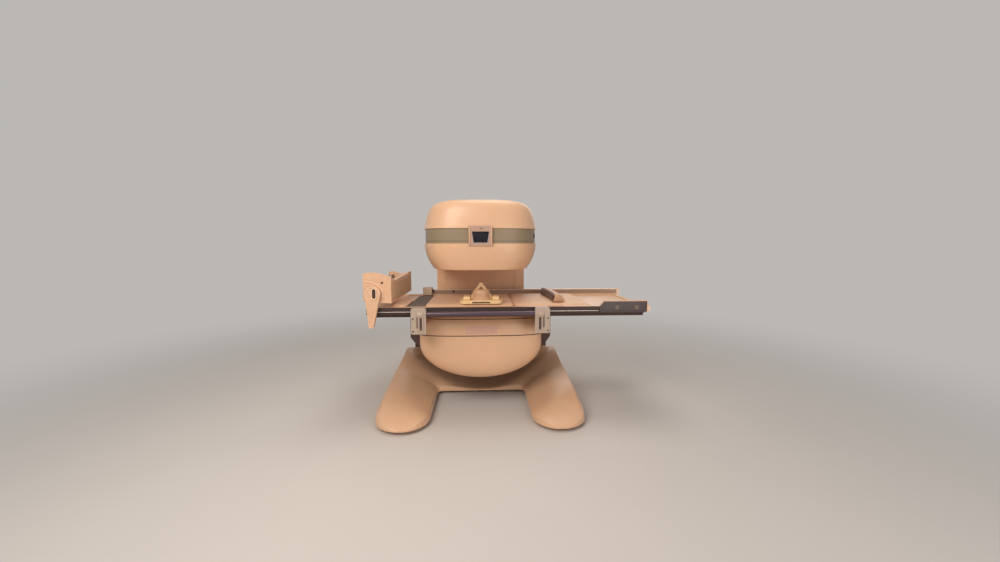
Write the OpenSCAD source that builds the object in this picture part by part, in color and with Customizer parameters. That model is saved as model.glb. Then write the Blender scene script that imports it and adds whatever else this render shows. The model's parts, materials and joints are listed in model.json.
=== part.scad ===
// Tilting open magnetic resonance scanner: a C-shaped magnet on a low two-footed base,
// with a patient table that passes between the poles and a footrest at its foot end.
// Millimetres. +X to the head end, +Y to the rear, +Z up.
// The origin is on the floor, under the tilt axis, which runs from front to back.

/* [Tilt axis and poles] */
// Height of the tilt axis above the floor
axis_z = 1170; // [1150:5:1200]
// Free gap between the two pole covers
pole_gap = 400; // [390:5:420]
// Radius of the pole pieces
pole_r = 310; // [280:5:314]
// Place of the pole centre along Y
pole_y = -60; // [-70:5:-55]
// Thickness of a pole cover
pole_cover_t = 16; // [12:1:20]
// Thickness of a gradient coil
coil_t = 36; // [30:1:40]
// Thickness of a pole piece
pole_t = 80; // [60:5:90]
// Thickness of a magnet stack
magnet_t = 130; // [110:5:134]
// Thickness of a yoke plate
yoke_t = 130; // [110:5:132]
// Width of the yoke plates and the yoke column
yoke_w = 720; // [640:10:740]

/* [Upper housing] */
// Widest half width of the upper housing
head_w = 580; // [570:2:590]
// Length of the upper housing from front to back
head_l = 1400; // [1380:5:1420]
// Front face of the upper housing
head_front = -550; // [-560:2:-540]
// Height of the upper housing above the trim band
head_top_h = 276; // [260:4:284]
// Height of the trim band
band_h = 143; // [136:1:160]
// Lower edge of the trim band above the axis
band_up = 455; // [445:1:458]
// How far the trim band is set back
band_inset = 10; // [6:1:14]

/* [Display and stop button] */
// Width of the display bezel
bezel_w = 222; // [200:2:240]
// Height of the display bezel
bezel_h = 186; // [180:2:200]
// Width of the screen at its top
screen_w = 158; // [130:2:170]
// Height of the screen
screen_h = 102; // [80:2:110]
// How far the bezel stands out
bezel_out = 10; // [6:1:14]
// Radius of the stop button
stop_r = 28; // [24:1:32]
// Travel of the stop button
stop_travel = 5; // [4:1:6]

/* [Lower housing] */
// Half width of the front bowl
bowl_w = 600; // [570:5:620]
// Height of the seam between the two bowl covers, below the axis
seam_down = 422; // [400:2:440]
// How far the bowl stands out from the drum
bowl_out = 150; // [130:2:160]
// Front face of the drum behind the bowl
drum_front = -400; // [-410:2:-396]
// Outer radius of the drum about the tilt axis
drum_r = 830; // [800:5:850]
// Half width of the drum
drum_w = 690; // [660:5:710]

/* [Column] */
// Half width of the column cover
column_w = 510; // [490:5:525]
// Front face of the column cover
column_front = 400; // [398:1:410]
// Depth of the column cover
column_d = 405; // [400:1:410]
// Width of the recessed column panel
panel_w = 800; // [760:10:840]

/* [Base] */
// Lowest point of the cradle over the floor
cradle_low = 55; // [50:1:62]
// Half width of the base at its widest
base_w = 955; // [930:5:970]
// Front of the toes
toe_front = -1015; // [-1040:5:-1000]
// Half width of the bay between the feet
bay_w = 465; // [440:5:480]
// Front face of the base in the bay
bay_front = -75; // [-90:5:-60]
// Height of the shoulders over the floor
shoulder_z = 410; // [395:5:415]
// Height of the plinth
plinth_h = 25; // [20:1:30]
// Height of the levelling feet
foot_h = 10; // [8:1:14]
// How much narrower the rear tower's foot is than half the base
tower_in = 95; // [75:5:155]
// Depth of the rear tower
tower_d = 325; // [320:5:340]

/* [Tilt drive] */
// Radius of the tilt shaft
shaft_r = 160; // [150:2:166]
// Outer radius of the bearings
bearing_r = 205; // [200:1:215]
// Radial running clearance of the shaft
running = 0.05; // [0.03:0.01:0.08]
// Gear module
gear_m = 10; // [9.6:0.2:10]
// Teeth of the ring gear
gear_teeth = 60; // [60:4:60]
// Teeth of the drive pinion
pinion_teeth = 12; // [12:1:12]

/* [Patient table] */
// Foot end of the table
table_x0 = -1050; // [-1055:1:-1040]
// Head end of the table
table_x1 = 1560; // [1500:10:1600]
// Near edge of the table
table_y0 = -660; // [-670:2:-656]
// Far edge of the table
table_y1 = 320; // [318:1:322]
// Thickness of the table top
deck_t = 60; // [50:1:64]
// Gap between the pole cover and the table top
deck_gap = 15; // [12:1:18]
// Height of the rail along the far edge
far_rail_h = 55; // [45:1:60]
// Thickness of the pads
pad_t = 28; // [20:1:32]
// Radius of the front tube
tube_r = 26; // [22:1:30]

/* [Footrest] */
// Face of the footplate
footplate_x = -800; // [-820:2:-790]
// Thickness of the footplate
footplate_t = 40; // [30:1:46]
// Highest point of the footplate
footplate_top = 1310; // [1300:5:1320]
// Thickness of the cheeks and arms
cheek_t = 40; // [34:1:42]
// Radius of the rounded head of each arm
arm_head_r = 68; // [60:1:72]

/* [Hidden] */

$fn = 96;

// Clearances: between bodies at rest, and the groove between covers
clear = 0.3;
groove = 3;
// A little more than nothing, for cuts that pass a face
eps = 1;

// Heights of the stack between the poles, from the axis
lower_face = axis_z - pole_gap / 2;
upper_face = axis_z + pole_gap / 2;
stack_h = pole_cover_t + coil_t + pole_t + magnet_t;
lower_yoke_top = lower_face - stack_h;
upper_yoke_bottom = upper_face + stack_h;
yoke_rear = 760;
yoke_front = pole_y - pole_r + 20;
yoke_column_d = 280;
yoke_cut = 150;
stack_clear = 3;

// Upper housing
head_mid = head_front + head_l / 2;
head_bottom = upper_face - 2;
band_bottom = axis_z + band_up;
band_top = band_bottom + band_h;
head_under_in = 0.17;
head_top_in = 0.13;
head_top_slope = 1.3;
head_top_e = 7;
depth_taper = 0.5;
front_e = 3.6;
rear_e = 6;
ring_points = 56;

// Display
bezel_z = axis_z + 525;
bezel_depth = 34;
bezel_round = 14;
screen_z = axis_z + 515;
screen_depth = 9;
screen_back = 6;
screen_taper = 16;
dot_r = 5;

// Stop button on the right of the trim band
stop_turn = -25;
stop_x = 524;
stop_z = axis_z + 527;
stop_wall = 8;
stop_depth = 26;
stop_sink = 4;
stop_cap = 14;
stop_stem = 5;

// Lower housing
bowl_mid = axis_z - 510;
bowl_top = lower_face - 16;
bowl_low = axis_z - 862;
bowl_top_e = 4;
bowl_depth_e = 3;
drum_top = lower_face - 16;
drum_rear = column_front;
beam_slot_y = 292;
beam_slot_z = 920;

// Column
column_low = 420;
column_r = 118;
column_top = head_bottom;
panel_low = lower_face - 120;
panel_high = head_bottom - 26;
panel_t = 12;
panel_r = 20;

// Base
base_low = foot_h + plinth_h;
cradle_r = axis_z - cradle_low;
tower_w = base_w - tower_in;
base_rear = 865;
base_edge = 12;
shoulder_y = 350;
toe_round = 270;
toe_drop = 600;
toe_e = 1.22;
side_e = 2;
side_round = 64;
apron_w_min = 60;
apron_edge = 42;
apron_e = 0.78;
rear_fall = 130;
bay_r = 60;
toe_inner_y = -760;
toe_inner_x = 690;
blend_k = 26;
foot_x = 9;
mid_x = 8;
rear_narrow = 75;
valley_clear = 4;
crest_fall = 160;
crest_l = 900;
bay_edge_r = 14;
plinth_inset = 55;
foot_r = 42;
foot_at_x = 690;
mid_foot_y = foot_r - 14;
foot_at_y = [-800, -100, 500, 1100];
plinth_side = 130;
plinth_toe = 110;

// Tower
tower_y0 = 872;
tower_y1 = tower_y0 + tower_d;
tower_r = 430;
tower_shoulder_z = 330;
tower_wall = 12;
frame_t = 28;
frame_gap = 6;
frame_front = tower_y0 + tower_wall + frame_gap;
frame_w = 560;
frame_r = 300;
hub_plate_r = 190;
hub_gap = 6;
shaft_end = 12;
gear_t = 46;
gear_y = frame_front + frame_t + 30;
frame_back = gear_y + gear_t + 46;
gear_r = gear_m * gear_teeth / 2;
pinion_r = gear_m * pinion_teeth / 2;
pinion_z = axis_z - gear_r - pinion_r;
pinion_extra = 6;
pinion_bore = 18;
motor_r = 74;
motor_flange_t = 14;
motor_flange_r = 96;
motor_len = 96;
motor_spigot_r = 30;
pinion_grip = 40;
louvre_n = 9;
louvre_pitch = 46;
louvre_h = 14;
louvre_w = 460;
access_w = 620;
access_h = 880;
access_low = 170;
access_r = 40;
access_lap = 24;
access_t = 8;

// Table
deck_low = lower_face + deck_gap;
deck_top = deck_low + deck_t;
deck_r = 60;
deck_well = 10;
deck_rim = 46;
beam_h = 30;
near_beam_d = 62;
far_beam_d = 20;
beam_low = deck_low - beam_h;
cross_d = 60;
cross_left = table_x0 + 25;
cross_right = [800, 1130, 1460];
guide_l = 1100;
guide_w = 24;
rail_t = 25;
rail_lip = 6;
rail_lip_h = 8;
far_rail_w = 40;
far_rail_x0 = -550;
far_rail_over = 26;
far_block_l = 40;
left_block = [104, 96, 82];
end_block = [28, 32, 58];
panel_x0 = table_x1 - 462;
panel_x1 = table_x1 - 14;
panel_z1 = deck_top + 56;
panel_slope = 44;
panel_rim = 9;
panel_depth = 36;
panel_sink = 8;
button_x = [table_x1 - 300, table_x1 - 116];
button_z = deck_top - 8;
button_s = 34;
button_out = 2;
button_stem = 9;

// Pads, cushion and receive coil
pad_edge = 60;
pad_r = 40;
centre_pad_x = [-520, 311];
head_pad_x = [319, 1040];
left_pad_x = [-1000, -690];
left_pad_y = [-610, -170];
pad_y = [table_y0 + pad_edge, table_y1 - pad_edge - 20];
wedge_l = 640;
wedge_w = 140;
wedge_h = 80;
wedge_turn = 93;
wedge_at = [735, -215];
coil_size = [400, 250, 30];
coil_at = [5, -470];
coil_r = 82;
coil_h = 96;

// Tube and brackets in front of the table
tube_y = table_y0 - 69;
tube_z = axis_z - 178;
bracket_x0 = 488;
bracket_x1 = 622;
bracket_low = axis_z - 352;
bracket_high = axis_z - 118;
bracket_t = 34;
boss_in = 14;
boss_l = 62;
boss_wall = 10;
bracket_y = tube_y - 16;
bracket_arm_w = 36;
bracket_arm = [axis_z - 342, axis_z - 262];
rib_w = 10;
rib_out = 8;
screw_r = 7;
screw_out = 4;
screw_in = 18;

// Footrest
foot_low = axis_z - 80;
cheek_x0 = -1048;
near_cheek_y = table_y0 - 40;
far_cheek_y = table_y1 + 10 - cheek_t;
cheek_back = [axis_z + 183, axis_z + 132];
plate_dip = axis_z + 128;
near_cheek_line = [[footplate_x, axis_z + 156], [-850, axis_z + 170], [-904, axis_z + 189],
                   [-960, axis_z + 197], [-1010, axis_z + 195]];
far_cheek_line = [[footplate_x, axis_z + 140], [-835, axis_z + 138], [-864, axis_z + 114],
                  [-930, axis_z + 118], [-985, axis_z + 140], [-1010, axis_z + 144]];
arm_at = [-957, axis_z + 10];
arm_foot = [-976, axis_z - 276];
arm_foot_r = 24;
arm_t = 36;
slot_w = 30;
slot_h = 84;
near_arm_y = near_cheek_y - arm_t;
far_arm_y = table_y1 + 14 + 10;
far_arm_drop = 216;
shoe_h = 46;
shoe_l = 70;
foot_tube_r = 18;
foot_tube_at = [-1000, axis_z + 90];
mat_t = 6;
mat_edge = 26;

// Closed ring of points round a centre, with its own exponent for each half
function pow_side(c, e) = sign(c) * pow(abs(c), 2 / e);
function egg(a, b_low, b_high, e_low, e_high, n) = [
    for (i = [0:n - 1])
        let (t = 360 * i / n, c = cos(t), s = sin(t), e = s < 0 ? e_low : e_high, b = s < 0 ? b_low : b_high)
        [a * pow_side(c, e), b * pow_side(s, e)]];

// Solid through a list of rings, each with the same number of points
module loft(rings) {
    n = len(rings[0]);
    m = len(rings);
    polyhedron(
        points = [for (r = rings) for (p = r) p],
        faces = concat(
            [[for (i = [0:n - 1]) i]],
            [for (k = [0:m - 2]) for (i = [0:n - 1]) let (j = (i + 1) % n)
                [k * n + i, (k + 1) * n + i, (k + 1) * n + j]],
            [for (k = [0:m - 2]) for (i = [0:n - 1]) let (j = (i + 1) % n)
                [k * n + i, (k + 1) * n + j, k * n + j]],
            [[for (i = [n - 1:-1:0]) (m - 1) * n + i]]));
}

// Flat plate with round corners, from the origin up
module rounded(w, d, h, r) {
    linear_extrude(h) rounded_2d(w, d, r);
}
module rounded_2d(w, d, r) {
    translate([r, 0]) square([w - 2 * r, d]);
    translate([0, r]) square([w, d - 2 * r]);
    for (x = [r, w - r]) for (y = [r, d - r]) translate([x, y]) circle(r);
}
// Slot with round ends, as long or as tall as it is larger
module slot_2d(w, h) {
    r = min(w, h) / 2;
    translate([w > h ? r : 0, w > h ? 0 : r]) square([w > h ? w - 2 * r : w, w > h ? h : h - 2 * r]);
    for (p = [[r, r], [w - r, h - r]]) translate(p) circle(r, $fn = 32);
}
// Shape drawn in X and Z, pushed along Y from y by d
module along_y(y, d) {
    translate([0, y + d, 0]) rotate([90, 0, 0]) linear_extrude(d) children();
}
// Box between two heights, wide enough to cut anything
module slab(z0, z1) {
    translate([-2000, -2000, z0]) cube([4000, 4000, z1 - z0]);
}

// Upper housing: half width at a height, and its ring in plan
function head_half(z) =
    z > band_top ? let (t = (z - band_top) / head_top_h)
        head_w * (1 - head_top_in * pow(t, head_top_slope)) * pow(1 - pow(t, head_top_e), 1 / head_top_e)
    : z < band_bottom ? head_w * (1 - head_under_in * pow((band_bottom - z) / (band_bottom - head_bottom), 2))
    : head_w;
function head_ring(z, w) = [
    for (p = egg(w, head_l / 2 - depth_taper * (head_w - w), head_l / 2 - depth_taper * (head_w - w),
                 front_e, rear_e, ring_points))
        [p[0], head_mid + p[1], z]];
module head_upper_form() {
    loft([for (t = [0, 0.25, 0.5, 0.66, 0.77, 0.85, 0.91, 0.95, 0.978, 0.993])
        let (z = band_top + t * head_top_h) head_ring(z, head_half(z))]);
}
module head_lower_form() {
    span = band_bottom - head_bottom;
    loft(concat(
        [head_ring(head_bottom, head_half(head_bottom) - 22)],
        [for (t = [0.03, 0.12, 0.25, 0.4, 0.6, 0.8, 1])
            let (z = head_bottom + t * span) head_ring(z, head_half(z))]));
}
// The band's own outline, set back from the covers
module band_2d(inset) {
    polygon([for (p = egg(head_w - inset, head_l / 2 - inset, head_l / 2 - inset, front_e, rear_e,
                          ring_points))
        [p[0], head_mid + p[1]]]);
}
module bezel_pocket(more) {
    translate([-bezel_w / 2 - more, head_front - 60, bezel_z - bezel_h / 2 - more])
        cube([bezel_w + 2 * more, 60 + bezel_depth - bezel_out + more, bezel_h + 2 * more]);
}
stop_y = head_mid - (head_l / 2 - band_inset)
    * pow(1 - pow(stop_x / (head_w - band_inset), front_e), 1 / front_e);
module at_stop() {
    translate([stop_x, stop_y, stop_z]) rotate([0, 90, stop_turn]) children();
}
// Space of a round pole stack and its yoke, with a clearance all round
module stack_space(z0, z1) {
    translate([0, pole_y, z0]) cylinder(h = z1 - z0, r = pole_r + stack_clear);
}
module column_space(z0, z1) {
    translate([-yoke_w / 2 - stack_clear, yoke_rear - yoke_column_d - stack_clear, z0])
        cube([yoke_w + 2 * stack_clear, yoke_column_d + 2 * stack_clear, z1 - z0]);
}

module upper_cover_top() {
    color("ivory") difference() {
        head_upper_form();
        bezel_pocket(clear);
    }
}
module upper_cover_bottom() {
    color("ivory") difference() {
        union() {
            head_lower_form();
            translate([0, 0, head_bottom]) column_plan(band_bottom - head_bottom);
        }
        bezel_pocket(clear);
        stack_space(head_bottom - eps, band_bottom + eps);
        column_space(head_bottom - eps, band_bottom + eps);
    }
}
module trim_band() {
    color("darkseagreen") difference() {
        translate([0, 0, band_bottom]) linear_extrude(band_h) difference() {
            band_2d(band_inset);
            band_2d(band_inset + 30);
        }
        bezel_pocket(clear);
        at_stop() translate([0, 0, -stop_depth]) cylinder(h = 2 * stop_depth, r = stop_r + stop_wall + clear);
    }
}
module display_bezel() {
    y0 = head_front - bezel_out;
    color("ivory") difference() {
        translate([-bezel_w / 2, 0, bezel_z - bezel_h / 2]) along_y(y0, bezel_depth)
            rounded_2d(bezel_w, bezel_h, bezel_round);
        translate([0, 0, screen_z]) along_y(y0 - eps, screen_depth + screen_back + eps) screen_2d(clear);
        translate([0, 0, bezel_z + bezel_h / 2 - 20]) along_y(y0 - eps, 4 + eps) circle(dot_r);
    }
}
module screen_2d(more) {
    h = screen_h / 2 + more;
    polygon([[-screen_w / 2 - more, h], [-screen_w / 2 + screen_taper - more, -h],
             [screen_w / 2 - screen_taper + more, -h], [screen_w / 2 + more, h]]);
}
module display_screen() {
    color([0.03, 0.03, 0.05]) translate([0, 0, screen_z])
        along_y(head_front - bezel_out + screen_back, screen_depth) screen_2d(0);
}
module stop_button_ring() {
    color("gainsboro") at_stop() translate([0, 0, -stop_depth]) difference() {
        cylinder(h = stop_depth + stop_sink, r = stop_r + stop_wall);
        translate([0, 0, stop_wall]) cylinder(h = stop_depth + stop_sink, r = stop_r + clear);
        translate([0, 0, -eps]) cylinder(h = stop_depth, r = stop_stem + running);
    }
}
module stop_button() {
    color([0.12, 0.1, 0.1]) at_stop() {
        translate([0, 0, stop_sink - stop_cap + 2]) cylinder(h = stop_cap, r = stop_r);
        translate([0, 0, stop_travel - stop_depth + 1]) cylinder(h = stop_depth - stop_cap, r = stop_stem);
    }
}

// Lower housing: the bowl is a dome of D-shaped rings that grows towards the drum
function bowl_ring(t) =
    let (s = pow(1 - pow(t, bowl_depth_e), 1 / bowl_depth_e))
    [for (p = egg(bowl_w * s, (bowl_mid - bowl_low) * s, (bowl_top - bowl_mid) * s, 2, bowl_top_e,
                  ring_points))
        [p[0], drum_front - bowl_out * t, bowl_mid + p[1]]];
module bowl_form() {
    loft([for (t = [0, 0.3, 0.5, 0.66, 0.78, 0.87, 0.93, 0.97, 0.99]) bowl_ring(t)]);
}
module bowl_upper_panel() {
    color("linen") intersection() {
        bowl_form();
        slab(axis_z - seam_down + groove / 2, axis_z);
    }
}
module bowl_lower_cover() {
    color("linen") intersection() {
        bowl_form();
        slab(0, axis_z - seam_down - groove / 2);
    }
}
module drum_cover() {
    color([0.2, 0.19, 0.18]) difference() {
        intersection() {
            translate([0, drum_rear, axis_z]) rotate([90, 0, 0])
                cylinder(h = drum_rear - drum_front, r = drum_r, $fn = 180);
            translate([-drum_w, drum_front, 0]) cube([2 * drum_w, drum_rear - drum_front, drum_top]);
        }
        stack_space(lower_yoke_top - eps, drum_top + eps);
        translate([-drum_w - eps, beam_slot_y, beam_slot_z])
            cube([2 * drum_w + 2 * eps, drum_rear - beam_slot_y + eps, drum_top - beam_slot_z + eps]);
        lower_yoke_space(stack_clear);
    }
}
module lower_yoke_space(more) {
    translate([0, 0, lower_yoke_top - yoke_t - more]) linear_extrude(yoke_t + 2 * more)
        yoke_2d(yoke_front, more);
}

// Magnet: two yoke plates on a column, and a stack on each
module yoke_2d(front, more) {
    w = yoke_w / 2 + more;
    polygon([[-w, front - more + yoke_cut], [-w + yoke_cut, front - more], [w - yoke_cut, front - more],
             [w, front - more + yoke_cut], [w, yoke_rear + more], [-w, yoke_rear + more]]);
}
module lower_yoke_plate() {
    color("slategray") translate([0, 0, lower_yoke_top - yoke_t]) linear_extrude(yoke_t)
        yoke_2d(yoke_front, 0);
}
module upper_yoke_plate() {
    color("slategray") translate([0, 0, upper_yoke_bottom]) linear_extrude(yoke_t) yoke_2d(yoke_front, 0);
}
module yoke_column() {
    color("slategray") translate([-yoke_w / 2, yoke_rear - yoke_column_d, lower_yoke_top])
        cube([yoke_w, yoke_column_d, upper_yoke_bottom - lower_yoke_top]);
}
module disc(z, h, r) {
    translate([0, pole_y, z]) cylinder(h = h, r = r);
}
module lower_magnet() {
    color("dimgray") disc(lower_yoke_top, magnet_t, pole_r - 20);
}
module upper_magnet() {
    color("dimgray") disc(upper_yoke_bottom - magnet_t, magnet_t, pole_r - 20);
}
// A pole piece has a raised shim ring round its face
shim_w = 34;
module lower_pole_piece() {
    color("silver") difference() {
        disc(lower_yoke_top + magnet_t, pole_t + coil_t / 2, pole_r);
        disc(lower_yoke_top + magnet_t + pole_t, coil_t, pole_r - shim_w);
    }
}
module upper_pole_piece() {
    color("silver") difference() {
        disc(upper_yoke_bottom - magnet_t - pole_t - coil_t / 2, pole_t + coil_t / 2, pole_r);
        disc(upper_yoke_bottom - magnet_t - pole_t - coil_t, coil_t, pole_r - shim_w);
    }
}
module lower_gradient_coil() {
    color("peru") disc(lower_face - pole_cover_t - coil_t, coil_t, pole_r - shim_w - 2);
}
module upper_gradient_coil() {
    color("peru") disc(upper_face + pole_cover_t, coil_t, pole_r - shim_w - 2);
}
module lower_pole_cover() {
    color("whitesmoke") disc(lower_face - pole_cover_t, pole_cover_t, pole_r + stack_clear - clear);
}
module upper_pole_cover() {
    color("whitesmoke") disc(upper_face, pole_cover_t, pole_r + stack_clear - clear);
}

// Column between the two housings
module column_plan(h) {
    translate([-column_w, column_front, 0]) linear_extrude(h) {
        square([2 * column_w, column_d - column_r]);
        translate([column_r, 0]) square([2 * column_w - 2 * column_r, column_d]);
        for (x = [column_r, 2 * column_w - column_r]) translate([x, column_d - column_r]) circle(column_r);
    }
}
module column_cover() {
    color("ivory") difference() {
        translate([0, 0, column_low]) column_plan(column_top - column_low);
        translate([-yoke_w / 2 - stack_clear, column_front - eps, lower_yoke_top - yoke_t - stack_clear])
            cube([yoke_w + 2 * stack_clear, yoke_rear - column_front + stack_clear + eps,
                  yoke_t + 2 * stack_clear]);
        column_space(lower_yoke_top, column_top + eps);
        translate([-panel_w / 2, 0, panel_low]) along_y(column_front - eps, panel_t + eps)
            rounded_2d(panel_w, panel_high - panel_low, panel_r);
        translate([0, yoke_rear, axis_z]) rotate([-90, 0, 0])
            cylinder(h = column_d, r = hub_plate_r + stack_clear);
    }
}
module column_panel() {
    color("cornsilk") translate([-panel_w / 2 + clear, 0, panel_low + clear])
        along_y(column_front + panel_t / 2, panel_t / 2)
            rounded_2d(panel_w - 2 * clear, panel_high - panel_low - 2 * clear, panel_r - clear);
}

// Tilt drive: hub and shaft on the magnet, ring gear, bearings, pinion and motor
module ring_y(y, l, r, bore) {
    translate([0, y, axis_z]) rotate([-90, 0, 0]) difference() {
        cylinder(h = l, r = r);
        if (bore > 0) translate([0, 0, -eps]) cylinder(h = l + 2 * eps, r = bore);
    }
}
module tilt_hub() {
    color("lightsteelblue") {
        ring_y(yoke_rear, tower_y0 - hub_gap - yoke_rear, hub_plate_r, 0);
        ring_y(yoke_rear, frame_back + frame_t + shaft_end - yoke_rear, shaft_r, 0);
    }
}
// Outline of a straight-sided gear with its first tooth on the X axis
function tooth(r, m, a, n) =
    let (p = 360 / n)
    [for (q = [[-0.29, -1.15], [-0.14, 0.85], [0.14, 0.85], [0.29, -1.15]])
        let (w = a + q[0] * p, d = r + q[1] * m) [d * cos(w), d * sin(w)]];
module gear_2d(n, m, phase) {
    polygon([for (k = [0:n - 1]) for (p = tooth(n * m / 2, m, phase + k * 360 / n, n)) p]);
}
module ring_gear() {
    color("darkgray") difference() {
        translate([0, 0, axis_z]) along_y(gear_y, gear_t) gear_2d(gear_teeth, gear_m, 90);
        translate([0, 0, axis_z]) along_y(gear_y - eps, gear_t + 2 * eps) circle(shaft_r + running);
        for (a = [0:60:300]) translate([0, 0, axis_z])
            along_y(gear_y - eps, gear_t + 2 * eps) rotate(a + 30) translate([shaft_r + 62, 0]) circle(28);
    }
}
module drive_pinion() {
    color("goldenrod") {
        translate([0, 0, pinion_z])
            along_y(gear_y - pinion_extra, gear_t + 2 * pinion_extra)
                gear_2d(pinion_teeth, gear_m, 90 + 180 / pinion_teeth);
        translate([0, gear_y + gear_t, pinion_z]) rotate([-90, 0, 0])
            cylinder(h = frame_back + frame_t + pinion_grip - gear_y - gear_t, r = pinion_bore);
    }
}
module tilt_motor() {
    color("royalblue") translate([0, frame_back + frame_t, pinion_z]) rotate([-90, 0, 0]) difference() {
        union() {
            cylinder(h = motor_flange_t, r = motor_flange_r);
            cylinder(h = motor_len, r = motor_r);
            translate([0, 0, -frame_t]) cylinder(h = frame_t + eps, r = motor_spigot_r);
        }
        translate([0, 0, -frame_t - eps])
            cylinder(h = frame_t + pinion_grip + 2 * eps, r = pinion_bore + running);
    }
}
module bearing(y) {
    ring_y(y, frame_t, bearing_r, shaft_r + running);
}
module front_bearing() {
    color("gold") bearing(frame_front);
}
module rear_bearing() {
    color("gold") bearing(frame_back);
}
module frame_plate(y) {
    translate([0, 0, 0]) along_y(y, frame_t) difference() {
        union() {
            translate([0, axis_z]) circle(frame_r);
            polygon([[-frame_w / 2 - 40, base_low], [frame_w / 2 + 40, base_low],
                     [frame_r, axis_z], [-frame_r, axis_z]]);
        }
        translate([0, axis_z]) circle(bearing_r + running);
        translate([0, pinion_z]) circle(motor_spigot_r + running);
    }
}
module tower_frame() {
    color("dimgray") {
        frame_plate(frame_front);
        frame_plate(frame_back);
        for (x = [-frame_w / 2 - 40, frame_w / 2 + 10]) translate([x, frame_front, base_low])
            cube([30, frame_back + frame_t - frame_front, 330]);
    }
}
module tower_2d(inset) {
    difference() {
        union() {
            translate([0, axis_z]) circle(tower_r - inset);
            polygon([[-tower_w + inset, base_low], [tower_w - inset, base_low],
                     [tower_w - inset, tower_shoulder_z], [tower_r - inset, axis_z],
                     [-tower_r + inset, axis_z], [-tower_w + inset, tower_shoulder_z]]);
        }
        translate([-2 * tower_w, -2000 + base_low]) square([4 * tower_w, 2000]);
    }
}
module tower_cover() {
    color([0.22, 0.21, 0.2]) difference() {
        along_y(tower_y0, tower_d) tower_2d(0);
        along_y(tower_y0 + tower_wall, tower_d - 2 * tower_wall) translate([0, -1]) tower_2d(tower_wall);
        ring_y(tower_y0 - eps, tower_wall + 2 * eps, shaft_r + 20, 0);
        translate([-access_w / 2, 0, access_low]) along_y(tower_y1 - tower_wall - eps, tower_wall + 2 * eps)
            rounded_2d(access_w, access_h, access_r);
    }
}
module rear_access_cover() {
    color([0.3, 0.29, 0.28]) difference() {
        translate([-access_w / 2 - access_lap, 0, access_low - access_lap])
            along_y(tower_y1, access_t)
                rounded_2d(access_w + 2 * access_lap, access_h + 2 * access_lap, access_r);
        for (k = [0:louvre_n - 1])
            translate([-louvre_w / 2, 0, access_low + 120 + k * louvre_pitch])
                along_y(tower_y1 - eps, access_t + 2 * eps) slot_2d(louvre_w, louvre_h);
    }
}

// Base cover: a grid of heights over a plan with two feet and a bay between them
// Outer edge of the plan: round toes in front, drawing in to the rear
function base_half(y) =
    y < toe_front + toe_round
        ? toe_inner_x
            + (base_w - toe_inner_x) * sqrt(max(0, 1 - pow((toe_front + toe_round - y) / toe_round, 2)))
        : base_w - rear_narrow * max(0, y) / base_rear;
// Inner edge of a foot: flared at the toe, straight along the bay, rounded into its back
function base_inner(y) =
    y < toe_inner_y
        ? bay_w + (toe_inner_x - bay_w)
            * (1 - sqrt(max(0, 1 - pow((toe_inner_y - y) / (toe_inner_y - toe_front), 2))))
        : bay_w - bay_r + sqrt(max(0, bay_r * bay_r - pow(max(0, y - bay_front + bay_r), 2)));
// Height of the valley that the gantry turns in, of the crest, of the toes and of the outer sides
function valley(x) =
    axis_z - sqrt(cradle_r * cradle_r - min(x * x, base_w * base_w)) - base_low - valley_clear;
function crest(y) =
    shoulder_z - base_low - crest_fall * (1 - pow(1 - min(1, max(0, (shoulder_y - y) / crest_l)), 2))
    - rear_fall * max(0, (y - shoulder_y) / (base_rear - shoulder_y));
function toe_height(y) =
    let (t = min(1, max(0, (toe_front + toe_drop - y) / toe_drop)))
    base_edge + (crest(y) - base_edge) * pow(max(0, 1 - pow(t, toe_e)), 1 / toe_e);
function side_height(x, y) =
    let (t = min(1, max(0, (x - base_half(y) + side_round) / side_round)))
    base_edge + (toe_height(y) - base_edge) * pow(max(0, 1 - pow(t, side_e)), 1 / side_e);
// Height of the slope that rises from the bay's edge to the outer crest
function apron(x, y) =
    let (i = y < toe_inner_y ? base_inner(y) : bay_w,
         d = sqrt(pow(max(0, x - i), 2) + pow(max(0, y - bay_front), 2)),
         w = max(apron_w_min, base_half(y) - side_round / 2 - i))
    apron_edge + (crest(y) - apron_edge) * pow(min(1.2, d / w), apron_e);
// Lower of two heights, with a soft blend where they meet
function soft_min(a, b) = let (h = max(blend_k - abs(a - b), 0) / blend_k) min(a, b) - h * h * blend_k / 4;
// How far the rounded upper edge of the bay lies below the surface
function bay_drop(x, y) =
    let (d = y < bay_front ? max(0, x - base_inner(y)) : max(0, y - bay_front, x - bay_w + bay_r))
    d < bay_edge_r ? bay_edge_r - sqrt(bay_edge_r * bay_edge_r - pow(bay_edge_r - d, 2)) : 0;
function base_top(x, y) =
    base_low + max(base_edge,
        soft_min(valley(abs(x)), soft_min(apron(abs(x), y), side_height(abs(x), y))) - bay_drop(abs(x), y));
// Rows from the toes to the rear, with more of them where the toes and the bay's corners turn
toe_rows = [for (k = [0:6]) toe_front + 3 + (toe_round - 3) * (1 - cos(15 * k))];
foot_rows = [for (k = [1:5]) let (y0 = toe_front + toe_round) y0 + (bay_front - bay_r - y0) * k / 5];
corner_rows = [for (k = [1:4]) bay_front - bay_r + bay_r * sin(22.5 * k)];
edge_rows = [for (k = [1:3]) bay_front + bay_edge_r * (1 - cos(30 * k))];
rear_rows = [for (k = [1:12]) let (y0 = bay_front + bay_edge_r) y0 + (base_rear - y0) * k / 12];
base_ys = concat(toe_rows, foot_rows, corner_rows, edge_rows, rear_rows);
foot_last = len(toe_rows) + len(foot_rows) + len(corner_rows) - 1;
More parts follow.
